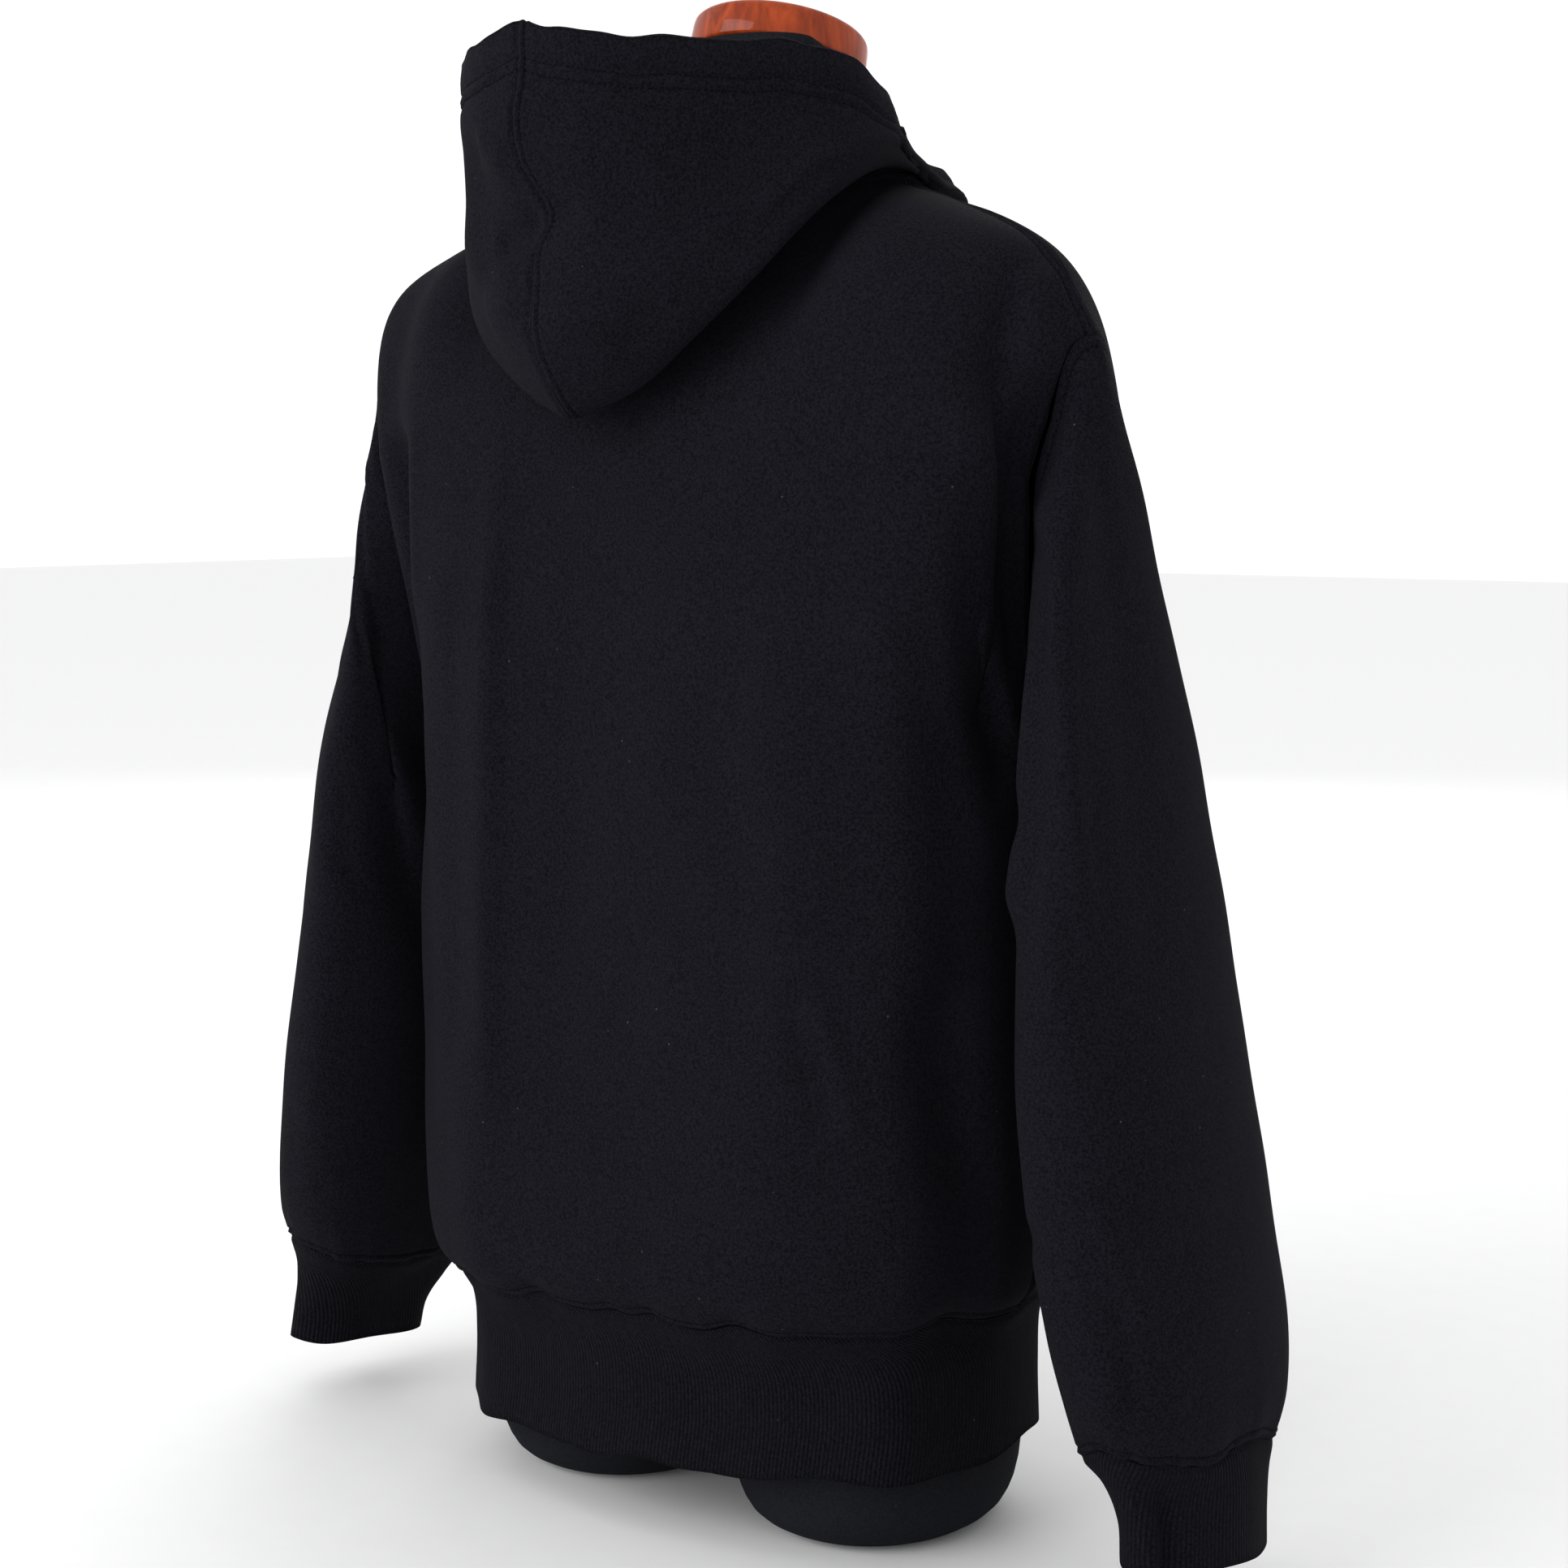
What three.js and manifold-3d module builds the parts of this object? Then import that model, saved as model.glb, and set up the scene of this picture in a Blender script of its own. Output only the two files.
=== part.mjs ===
// Pullover hoodie on a limbless dress form.
// Millimetres, +Z up. The front faces -Y and the wearer's left is +X. The origin is on the surface
// that the form's two thigh stubs stand on, under the middle of the whole object.
// Every piece of cloth is a wall: a smooth outer skin worked out from the tables below, and the same
// skin moved in by the cloth's thickness.

import * as THREE from 'three';
import { mergeVertices } from 'three/addons/utils/BufferGeometryUtils.js';
import Module from 'manifold-3d';

// ---------------------------------------------------------------- driving dimensions

const FLEECE = 2.5; // thickness of the heavy fleece
const RIB = 2.5; // thickness of the doubled rib knit
const SEAM_GAP = 0.3; // between two pieces at a seam
const SHIFT_Y = -26.4; // puts the middle of the whole object's depth on the origin

const PANEL_HALF_COLUMNS = 11; // facets from a panel's middle to its side, 3 of them along the neck
const NECK_COLUMNS = 3;
const BODY_ROWS = 7; // facet rows from the hem seam to the underarm
const ARMHOLE_ROWS = 9; // facet rows from the underarm to the shoulder
const SLEEVE_ROWS = 13;
const HOOD_COLUMNS = 12; // facets from the hood's centre seam to its front edge
const HOOD_ROWS = 13;

const UNDERARM = 0.5; // share of the panel's rows below the underarm
const YOKE = 0.86; // where the panels start to turn over the shoulder
const HPS = 0.25; // the neck's side point, as a share of the way from a panel's middle to its side

// Front and back panels by height. at: share of the way up; z, x: the side edge (side seam, then
// armhole); zBack, zFront, back, front: each panel's middle; square: how boxy the section is (2 is
// an ellipse).
const PANELS = [
  { at: 0.0, z: 130, x: 189, zBack: 130, zFront: 130, back: 116, front: -120, square: 2.6 },
  { at: 0.06, z: 148, x: 199, zBack: 148, zFront: 148, back: 126, front: -129, square: 2.7 },
  { at: 0.16, z: 205, x: 203, zBack: 205, zFront: 205, back: 127, front: -129, square: 2.8 },
  { at: 0.3, z: 300, x: 203, zBack: 305, zFront: 300, back: 123, front: -125, square: 3 },
  { at: 0.42, z: 390, x: 205, zBack: 402, zFront: 394, back: 123, front: -125, square: 3.1 },
  { at: 0.5, z: 440, x: 206, zBack: 462, zFront: 450, back: 124, front: -126, square: 3.2 },
  { at: 0.58, z: 458, x: 207, zBack: 508, zFront: 490, back: 124, front: -126, square: 3.2 },
  { at: 0.7, z: 516, x: 210, zBack: 570, zFront: 545, back: 123, front: -125, square: 3.1 },
  { at: 0.86, z: 592, x: 217, zBack: 634, zFront: 612, back: 119, front: -121, square: 3 },
];
const SIDE_SEAM_Y = 0;
// How far each panel's armhole edge lies back of the side seam, and front of it.
const ARMHOLE = [
  { at: 0.5, back: 0, front: 0 },
  { at: 0.54, back: 14, front: -12 },
  { at: 0.6, back: 28, front: -20 },
  { at: 0.7, back: 43, front: -26 },
  { at: 0.86, back: 57, front: -20 },
];

// The shoulder line, from the armhole's top in to the neck. at: as across the panels.
const SHOULDER = [
  { at: 0.25, x: 98, y: -22, z: 755 },
  { at: 0.4, x: 130, y: -8, z: 745 },
  { at: 0.6, x: 172, y: 10, z: 731 },
  { at: 0.76, x: 203, y: 23, z: 718 },
  { at: 0.87, x: 222, y: 31, z: 704 },
  { at: 0.94, x: 235, y: 34, z: 686 },
  { at: 1.0, x: 249, y: 34, z: 665 },
];
const NECK_BACK = [
  { at: 0.0, x: 0, y: 72, z: 737 },
  { at: 0.0833, x: 42, y: 63, z: 740 },
  { at: 0.1667, x: 80, y: 30, z: 749 },
  { at: 0.25, x: 98, y: -22, z: 755 },
];
const NECK_FRONT = [
  { at: 0.0, x: 0, y: -118, z: 697 },
  { at: 0.0833, x: 52, y: -110, z: 708 },
  { at: 0.1667, x: 92, y: -74, z: 738 },
  { at: 0.25, x: 98, y: -22, z: 755 },
];
const SHOULDER_ROUND = { back: 2.6, front: 1.9 }; // the turn over the shoulder; 2 is an ellipse
const NECK_ROUND = 1.25; // the rise to the neck, close to straight

// Sleeves, from the armhole to the cuff seam. xOut, zOut and xIn, zIn: the outer and inner edge of a
// section; y: its middle; depth: half of it from front to back; lean: how much higher its back is
// than its middle.
const SLEEVE = [
  { at: 0.12, xOut: 254, zOut: 612, xIn: 218, zIn: 422, y: 25, depth: 43, square: 2.2, lean: 2 },
  { at: 0.26, xOut: 264, zOut: 540, xIn: 217, zIn: 388, y: 19, depth: 60, square: 2.2, lean: 4 },
  { at: 0.42, xOut: 278, zOut: 448, xIn: 214, zIn: 338, y: 13, depth: 79, square: 2.2, lean: 6 },
  { at: 0.6, xOut: 296, zOut: 335, xIn: 214, zIn: 272, y: 8, depth: 91, square: 2.2, lean: 9 },
  { at: 0.77, xOut: 315, zOut: 228, xIn: 224, zIn: 200, y: 7, depth: 96, square: 2.2, lean: 12 },
  { at: 0.88, xOut: 328, zOut: 160, xIn: 237, zIn: 148, y: 6, depth: 94, square: 2.2, lean: 13 },
  { at: 0.95, xOut: 333, zOut: 118, xIn: 249, zIn: 113, y: 8, depth: 85, square: 2.2, lean: 12 },
  { at: 1.0, xOut: 331, zOut: 93, xIn: 256, zIn: 91, y: 10, depth: 73, square: 2.2, lean: 10 },
];
const CUFF = [
  { at: 0.0, xOut: 331, zOut: 93, xIn: 256, zIn: 91, y: 10, depth: 73, square: 2.2, lean: 10 },
  { at: 0.25, xOut: 332, zOut: 78, xIn: 267, zIn: 77, y: 12, depth: 62, square: 2.2, lean: 9 },
  { at: 0.65, xOut: 334, zOut: 57, xIn: 278, zIn: 56, y: 16, depth: 56, square: 2.2, lean: 8 },
  { at: 1.0, xOut: 336, zOut: 37, xIn: 281, zIn: 36, y: 19, depth: 55, square: 2.2, lean: 7 },
];
const CUFF_ROWS = 3;
// How each arm hangs. open: how far open its cuff is, as a share of the depths; swing: how much
// further out the sleeve hangs at mid-arm; tuck: how much slimmer the upper arm lies.
const HANG = {
  left: { open: 0.88, swing: -5, tuck: 12 },
  right: { open: 1.02, swing: 4, tuck: 0 },
};

// Hem rib, from its seam down. Same columns as the panels.
const HEM = [
  { at: 0.0, z: 130, x: 189, back: 116, front: -120, square: 2.6 },
  { at: 0.2, z: 113, x: 182, back: 110, front: -118, square: 2.5 },
  { at: 0.6, z: 80, x: 180, back: 108, front: -119, square: 2.5 },
  { at: 1.0, z: 46, x: 181, back: 110, front: -120, square: 2.5 },
];
const HEM_TILT = 0.05; // the hem hangs lower on the wearer's left, as a share of x
const HEM_ROWS = 3;

// Hood, lying down the back, from the centre seam (at 0) to its front edge (at 1). Each row is a
// section: it leaves the neck seam, runs under to the fold, and comes up outside to the rim. bulge:
// how far it swells between fold and rim; dent: how far it is pushed in halfway up.
const HOOD = [
  { at: 0.0, xFold: 0, yFold: 147, zFold: 624, xRim: 0, yRim: 187, zRim: 822, bulge: 20, dent: 15 },
  { at: 0.1, xFold: 34, yFold: 140, zFold: 639, xRim: 30, yRim: 182, zRim: 815, bulge: 15, dent: 4 },
  { at: 0.2, xFold: 66, yFold: 134, zFold: 663, xRim: 58, yRim: 163, zRim: 812, bulge: 7, dent: 0 },
  { at: 0.3, xFold: 95, yFold: 119, zFold: 695, xRim: 85, yRim: 134, zRim: 812, bulge: -2, dent: 0 },
  { at: 0.4, xFold: 114, yFold: 94, zFold: 728, xRim: 107, yRim: 97, zRim: 813, bulge: -2, dent: 0 },
  { at: 0.5, xFold: 121, yFold: 64, zFold: 750, xRim: 115, yRim: 62, zRim: 809, bulge: 1, dent: 0 },
  { at: 0.6, xFold: 119, yFold: 28, zFold: 766, xRim: 110, yRim: 22, zRim: 797, bulge: 2, dent: 0 },
  { at: 0.7, xFold: 105, yFold: -12, zFold: 768, xRim: 96, yRim: -12, zRim: 783, bulge: 1, dent: 0 },
  { at: 0.8, xFold: 99, yFold: -52, zFold: 758, xRim: 91, yRim: -48, zRim: 774, bulge: 1, dent: 0 },
  { at: 0.9, xFold: 84, yFold: -92, zFold: 742, xRim: 78, yRim: -86, zRim: 762, bulge: 1, dent: 0 },
  { at: 1.0, xFold: 8, yFold: -136, zFold: 706, xRim: 6, yRim: -130, zRim: 726, bulge: 1, dent: 0 },
];
const HOOD_FOLD_AT = 0.42; // where the fold lies between the neck seam and the rim
const HOOD_STAND = 9; // how high the hood stands on the neck seam before it turns outward
const HOOD_LIFT = 12; // how far the hood's underside is held up off the shoulders

// The largest folds. across: where on the panel, -1 right side to 1 left side; slant: how far that
// moves by the top; width: half width; out: height of a ridge, or less than 0 for a trough.
const BACK_FOLDS = [
  { across: 0.27, slant: -0.08, width: 0.09, low: -0.1, high: 0.78, out: 6 },
  { across: 0.02, slant: 0.05, width: 0.13, low: 0.05, high: 0.8, out: -5 },
  { across: -0.26, slant: 0.05, width: 0.12, low: -0.1, high: 0.7, out: 5 },
  { across: -0.8, slant: 0.26, width: 0.12, low: -0.15, high: 0.72, out: -9 },
  { across: 0.89, slant: -0.29, width: 0.17, low: 0.34, high: 1.0, out: -19 },
  { across: -0.88, slant: 0, width: 0.1, low: 0.42, high: 1.02, out: -22 },
];
const FRONT_FOLDS = [
  { across: 0.42, slant: -0.15, width: 0.1, low: -0.1, high: 0.75, out: 6 },
  { across: 0.08, slant: 0.06, width: 0.14, low: 0.0, high: 0.7, out: -5 },
  { across: -0.38, slant: 0.12, width: 0.1, low: -0.1, high: 0.75, out: 6 },
];
// On a sleeve across runs round it: 0 outside, 0.25 back, 0.5 inside, 0.75 front.
const SLEEVE_FOLDS = {
  left: [
    { across: 0.215, slant: 0.09, width: 0.05, low: 0.02, high: 1.0, out: 5 },
    { across: 0.24, slant: 0.36, width: 0.05, low: 0.12, high: 0.65, out: -8 },
    { across: 0.33, slant: 0.36, width: 0.06, low: 0.03, high: 0.52, out: 6 },
    { across: 0.84, slant: -0.06, width: 0.06, low: 0.1, high: 0.8, out: -6 },
  ],
  right: [
    { across: 0.13, slant: 0.12, width: 0.05, low: 0.0, high: 0.68, out: 6 },
    { across: 0.36, slant: 0.0, width: 0.07, low: 0.03, high: 0.6, out: -10 },
    { across: 0.3, slant: 0.12, width: 0.06, low: 0.45, high: 1.05, out: -5 },
    { across: 0.84, slant: -0.06, width: 0.06, low: 0.1, high: 0.8, out: -6 },
  ],
};

// Dress form. x, back, front: the section's half width, back and front. The garment rests on its
// shoulders.
const TORSO = [
  { z: 70, x: 150, back: 74, front: -84, square: 2.4 },
  { z: 110, x: 168, back: 90, front: -96, square: 2.4 },
  { z: 190, x: 166, back: 92, front: -96, square: 2.3 },
  { z: 330, x: 150, back: 78, front: -92, square: 2.3 },
  { z: 450, x: 163, back: 90, front: -104, square: 2.4 },
  { z: 570, x: 180, back: 98, front: -106, square: 2.5 },
  { z: 640, x: 196, back: 90, front: -92, square: 2.4 },
  { z: 676, x: 203.5, back: 76, front: -66, square: 2.2 },
  { z: 698, x: 205.5, back: 72, front: -58, square: 2.0 },
  { z: 713, x: 184.5, back: 62, front: -56, square: 2.0 },
  { z: 727, x: 131.5, back: 38, front: -60, square: 2.0 },
  { z: 744, x: 74.5, back: 36, front: -64, square: 2.0 },
  { z: 766, x: 56, back: 34, front: -70, square: 2.0 },
  { z: 796, x: 51, back: 26, front: -76, square: 2.0 },
  { z: 826, x: 49, back: 16, front: -82, square: 2.0 },
];
const TORSO_SIDES = 28;
const NECK_TILT = 14.5; // degrees that the neck's top faces forward
const NECK_TILT_FROM = 744; // height where the sections start to tilt

const STUB = { x: 90, y: -9, halfWidth: 79.5, halfDepth: 89, square: 2.05, top: 130 };
const STUB_FOOT = [
  { z: 0, share: 0.66 },
  { z: 3, share: 0.78 },
  { z: 10, share: 0.89 },
  { z: 22, share: 0.96 },
  { z: 42, share: 1 },
];
const CAP = { radius: 51, height: 21, bevel: 5, gap: SEAM_GAP };

const COLOURS = {
  fleece: { color: 0x1a191e, roughness: 0.95, metalness: 0 },
  rib: { color: 0x18171c, roughness: 0.95, metalness: 0 },
  formCloth: { color: 0x1e1f24, roughness: 0.9, metalness: 0 },
  wood: { color: 0x9e482a, roughness: 0.3, metalness: 0 },
};

// ---------------------------------------------------------------- curves from the tables

const mix = (a, b, t) => a + (b - a) * t;
const power = (value, exponent) => Math.sign(value) * Math.abs(value) ** exponent;
const steps = (from, to, count) => Array.from({ length: count + 1 }, (_, i) => mix(from, to, i / count));

// A smooth curve through one column of a table.
function track(rows, column, key = 'at') {
  const t = rows.map((row) => row[key]);
  const y = rows.map((row) => row[column]);
  const last = y.length - 1;
  const slope = y.map((_, i) => {
    const a = Math.max(i - 1, 0);
    const b = Math.min(i + 1, last);
    return (y[b] - y[a]) / (t[b] - t[a]);
  });
  return (x) => {
    let i = 0;
    while (i < last - 1 && x > t[i + 1]) i += 1;
    const h = t[i + 1] - t[i];
    const s = Math.min(Math.max((x - t[i]) / h, 0), 1);
    const a = s * s * (3 - 2 * s);
    return mix(y[i], y[i + 1], a) + h * s * (1 - s) * ((1 - s) * slope[i] - s * slope[i + 1]);
  };
}

// All of a table's columns as curves, read together.
function tracks(rows, key = 'at') {
  const columns = Object.keys(rows[0]).filter((name) => name !== key);
  const curves = columns.map((name) => [name, track(rows, name, key)]);
  return (x) => Object.fromEntries(curves.map(([name, curve]) => [name, curve(x)]));
}

// A smooth curve through points, each at its own stop.
function throughPoints(points, stops) {
  const spot = tracks(points.map((point, i) => ({ at: stops[i], x: point.x, y: point.y, z: point.z })));
  return (at) => new THREE.Vector3().copy(spot(at));
}

const smooth = (t) => {
  const s = Math.min(Math.max(t, 0), 1);
  return s * s * (3 - 2 * s);
};

// Height of the folds at one place; round is true where across goes right round a tube.
function foldHeight(folds, across, along, round = false) {
  return folds.reduce((sum, fold) => {
    let off = across - fold.across - fold.slant * along;
    if (round) off -= Math.round(off);
    const fade = smooth((along - fold.low) / 0.15) * smooth((fold.high - along) / 0.25);
    return sum + fold.out * fade * Math.exp(-((off / fold.width) ** 2));
  }, 0);
}

// ---------------------------------------------------------------- surfaces

const panelRow = tracks(PANELS);
const armholeRow = tracks(ARMHOLE);
const shoulder = tracks(SHOULDER);
const neckline = { back: tracks(NECK_BACK), front: tracks(NECK_FRONT) };
const hemRow = tracks(HEM);

// A point of a panel's section: share is -1 at the right side, 0 in the middle, 1 at the left side.
function sectionPoint(share, x, yEdge, yMiddle, zEdge, zMiddle, square) {
  const angle = (1 - Math.abs(share)) * Math.PI / 2;
  const out = Math.cos(angle) ** (2 / square);
  const deep = Math.sin(angle) ** (2 / square);
  const y = mix(yEdge, yMiddle, deep);
  return new THREE.Vector3(Math.sign(share) * x * out, y, mix(zEdge, zMiddle, deep));
}

function panelFolds(side, share, at) {
  const fade = smooth((1 - Math.abs(share)) / 0.15);
  return foldHeight(side === 'back' ? BACK_FOLDS : FRONT_FOLDS, share, at) * fade;
}

function panelLower(side, share, at) {
  const row = panelRow(at);
  const back = side === 'back';
  const yEdge = SIDE_SEAM_Y + (at > UNDERARM ? armholeRow(at)[side] : 0);
  const zMiddle = back ? row.zBack : row.zFront;
  const point = sectionPoint(share, row.x, yEdge, row[side], row.z, zMiddle, row.square);
  const height = panelFolds(side, share, at);
  point.z -= HEM_TILT * point.x * (1 - smooth(at / UNDERARM));
  const outward = new THREE.Vector3(point.x * 0.35, point.y, 0).normalize();
  return point.addScaledVector(outward, height);
}

function panelTop(side, share) {
  const at = Math.abs(share);
  const edge = at >= HPS ? shoulder(at) : neckline[side](at);
  return new THREE.Vector3(Math.sign(share) * edge.x, edge.y, edge.z);
}

// Below the yoke a panel follows its sections. Above it, each column turns over to the shoulder.
function panelPoint(side, share, at) {
  if (at <= YOKE) return panelLower(side, share, at);
  const base = panelLower(side, share, YOKE);
  const top = panelTop(side, share);
  const turn = (at - YOKE) / (1 - YOKE) * Math.PI / 2;
  const round = mix(NECK_ROUND, SHOULDER_ROUND[side], smooth((Math.abs(share) - 0.12) / 0.4));
  const rise = Math.sin(turn) ** (2 / round);
  const reach = 1 - Math.cos(turn) ** (2 / round);
  return new THREE.Vector3(mix(base.x, top.x, mix(rise, reach, 0.3)), mix(base.y, top.y, reach),
    mix(base.z, top.z, rise));
}

// across runs round a sleeve: 0 outside, 0.25 back, 0.5 inside, 0.75 front.
function tubePoint(row, across) {
  const angle = across * 2 * Math.PI;
  const out = (1 + power(Math.cos(angle), 2 / row.square)) / 2;
  const deep = power(Math.sin(angle), 2 / row.square);
  const z = mix(row.zIn, row.zOut, out) + row.lean * deep;
  return new THREE.Vector3(mix(row.xIn, row.xOut, out), row.y + row.depth * deep, z);
}

// The armhole as the panels' edges make it; the sleeve starts on it.
function armholePoint(across) {
  const turn = (across + 1) % 1;
  const half = Math.min(turn, 1 - turn);
  return panelPoint(turn <= 0.5 ? 'back' : 'front', 1, mix(1, UNDERARM, half * 2));
}

// A sleeve's surface, hung out by its swing and drawn in to its own cuff from the forearm down.
function sleeveSurface(name) {
  const { open, swing, tuck } = HANG[name];
  const fitted = SLEEVE.map((row) => {
    const out = swing * Math.sin(Math.PI * row.at);
    const slim = tuck * Math.exp(-(((row.at - 0.24) / 0.11) ** 2));
    const depth = row.depth * mix(1, open, smooth((row.at - 0.7) / 0.3));
    return { ...row, xOut: row.xOut + out - slim, xIn: row.xIn + out, depth };
  });
  const middleOf = tracks(fitted);
  return (across, at) => {
    const points = [armholePoint(across), ...fitted.map((row) => tubePoint(row, across))];
    const spot = throughPoints(points, [0, ...fitted.map((row) => row.at)])(at);
    const middle = middleOf(Math.max(at, fitted[0].at));
    const offX = spot.x - (middle.xIn + middle.xOut) / 2;
    const away = new THREE.Vector3(offX, spot.y - middle.y, 0).normalize();
    return spot.addScaledVector(away, foldHeight(SLEEVE_FOLDS[name], across, at, true));
  };
}

function cuffSurface({ open }) {
  const rowAt = tracks(CUFF.map((row) => ({ ...row, depth: row.depth * open })));
  return (across, at) => tubePoint(rowAt(at), across);
}

// round goes from 0 at the left side over the back (1) to the right side (2), and on over the front.
function hemPoint(round, at) {
  const row = hemRow(at);
  const turn = (round + 4) % 4;
  const back = turn <= 2;
  const share = back ? 1 - turn : turn - 3;
  const yMiddle = back ? row.back : row.front;
  const point = sectionPoint(share, row.x, SIDE_SEAM_Y, yMiddle, row.z, row.z, row.square);
  const height = panelFolds(back ? 'back' : 'front', share, 0) * (1 - smooth(at * 2.5));
  point.z -= HEM_TILT * point.x;
  return point.addScaledVector(new THREE.Vector3(point.x * 0.35, point.y, 0).normalize(), height);
}

// The neck seam, from the back's middle (0) over the neck's side point (0.5) to the front's middle
// (1). It is straight between the panels' columns, so that the hood's edge lies on the panels' edge.
function neckSeam(at) {
  const side = at <= 0.5 ? 'back' : 'front';
  const share = (at <= 0.5 ? at : 1 - at) * 2 * NECK_COLUMNS;
  const column = Math.min(Math.floor(share), NECK_COLUMNS - 1);
  const a = panelTop(side, column * HPS / NECK_COLUMNS + 1e-9);
  const b = panelTop(side, (column + 1) * HPS / NECK_COLUMNS - 1e-9);
  return a.lerp(b, share - column);
}

const hoodRow = tracks(HOOD);

// along runs over a hood section: 0 neck seam, HOOD_FOLD_AT the fold, 1 the rim.
function hoodPoint(at, along) {
  const row = hoodRow(at);
  const neck = neckSeam(at).add(new THREE.Vector3(0, 0, SEAM_GAP));
  const fold = new THREE.Vector3(row.xFold, row.yFold, row.zFold);
  const rim = new THREE.Vector3(row.xRim, row.yRim, row.zRim);
  const away = new THREE.Vector3(row.xFold - neck.x * 0.4, row.yFold - neck.y * 0.4, 0).normalize();
  const under = neck.clone().lerp(fold, 0.5).add(new THREE.Vector3(0, 0, HOOD_LIFT * smooth(1.6 - at * 2)));
  const outer = fold.clone().lerp(rim, 0.2).addScaledVector(away, row.bulge + 4);
  const middle = fold.clone().lerp(rim, 0.5).addScaledVector(away, row.bulge - row.dent);
  const upper = fold.clone().lerp(rim, 0.78).addScaledVector(away, row.bulge * 0.75);
  const stand = neck.clone().addScaledVector(away, HOOD_STAND / 2).add(new THREE.Vector3(0, 0, HOOD_STAND));
  const stops = [0, 0.08, 0.24, HOOD_FOLD_AT, 0.54, 0.7, 0.87, 1];
  return throughPoints([neck, stand, under, fold, outer, middle, upper, rim], stops)(along);
}

// ---------------------------------------------------------------- walls from surfaces

const NUDGE = 1e-3; // step for reading a surface's slope

function normalAt(surface, u, v, range) {
  const [u0, u1, v0, v1] = range;
  const du = surface(Math.min(u + NUDGE, u1), v).sub(surface(Math.max(u - NUDGE, u0), v));
  const dv = surface(u, Math.min(v + NUDGE, v1)).sub(surface(u, Math.max(v - NUDGE, v0)));
  return du.cross(dv).normalize();
}

// The direction a seam's edge is cut in: halfway between the two surfaces that meet there, so that
// their walls stay apart, or the surface's own where they meet in a sharp valley.
const VALLEY = 0.2;

function seamNormal(own, others) {
  const joined = others.filter((other) => own.dot(other) > VALLEY);
  return joined.reduce((sum, other) => sum.add(other), own.clone()).normalize();
}

// A closed wall on surface(u, v): the outer skin, the inner skin and the faces between them at the
// edges. seams says which edges end half a seam gap short. ring joins the last column to the first.
// across(u, v) lists the outward normals of the pieces on the other side of a seam.
function wall(surface, us, vs, thickness, options) {
  const { seams = {}, ring = false, flip = false, across = () => [] } = options;
  const columns = ring ? us.slice(0, -1) : us;
  const normalOf = outward(surface, us, vs, ring, flip);
  const outer = columns.map((u) => vs.map((v) => surface(u, v)));
  const normals = columns.map((u) => vs.map((v) => seamNormal(normalOf(u, v), across(u, v))));
  const shorten = (edge, next) => edge.addScaledVector(next.clone().sub(edge).normalize(), SEAM_GAP / 2);
  outer.forEach((column) => {
    if (seams.v0) shorten(column[0], column[1]);
    if (seams.v1) shorten(column[column.length - 1], column[column.length - 2]);
  });
  if (seams.u0) outer[0].forEach((point, j) => shorten(point, outer[1][j]));
  if (seams.u1) outer[outer.length - 1].forEach((point, j) => shorten(point, outer[outer.length - 2][j]));
  const inner = outer.map((column, i) => column.map((point, j) => (
    point.clone().addScaledVector(normals[i][j], -thickness))));
  return closeWall(outer, inner, ring, flip);
}

// A surface's outward normal as a function of u and v.
function outward(surface, us, vs, ring, flip) {
  const range = ring ? [-Infinity, Infinity] : [us[0], us[us.length - 1]];
  range.push(vs[0], vs[vs.length - 1]);
  return (u, v) => normalAt(surface, u, v, range).multiplyScalar(flip ? -1 : 1);
}

function indexedGeometry(positions, index) {
  const geometry = new THREE.BufferGeometry();
  geometry.setAttribute('position', new THREE.Float32BufferAttribute(positions, 3));
  geometry.setIndex(index);
  return geometry;
}

function closeWall(outer, inner, ring, flip) {
  const nu = outer.length;
  const nv = outer[0].length;
  const positions = [...outer, ...inner].flat().flatMap((p) => [p.x, p.y, p.z]);
  const outerAt = (i, j) => (i % nu) * nv + j;
  const innerAt = (i, j) => outerAt(i, j) + nu * nv;
  const index = [];
  const quad = (a, b, c, d) => {
    if (flip) index.push(a, c, b, a, d, c);
    else index.push(a, b, c, a, c, d);
  };
  const spans = ring ? nu : nu - 1;
  for (let i = 0; i < spans; i += 1) {
    for (let j = 0; j < nv - 1; j += 1) {
      quad(outerAt(i, j), outerAt(i + 1, j), outerAt(i + 1, j + 1), outerAt(i, j + 1));
      quad(innerAt(i, j), innerAt(i, j + 1), innerAt(i + 1, j + 1), innerAt(i + 1, j));
    }
    quad(outerAt(i, 0), innerAt(i, 0), innerAt(i + 1, 0), outerAt(i + 1, 0));
    quad(outerAt(i, nv - 1), outerAt(i + 1, nv - 1), innerAt(i + 1, nv - 1), innerAt(i, nv - 1));
  }
  if (!ring) {
    for (let j = 0; j < nv - 1; j += 1) {
      quad(outerAt(0, j), outerAt(0, j + 1), innerAt(0, j + 1), innerAt(0, j));
      quad(outerAt(nu - 1, j), innerAt(nu - 1, j), innerAt(nu - 1, j + 1), outerAt(nu - 1, j + 1));
    }
  }
  return indexedGeometry(positions, index);
}

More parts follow.
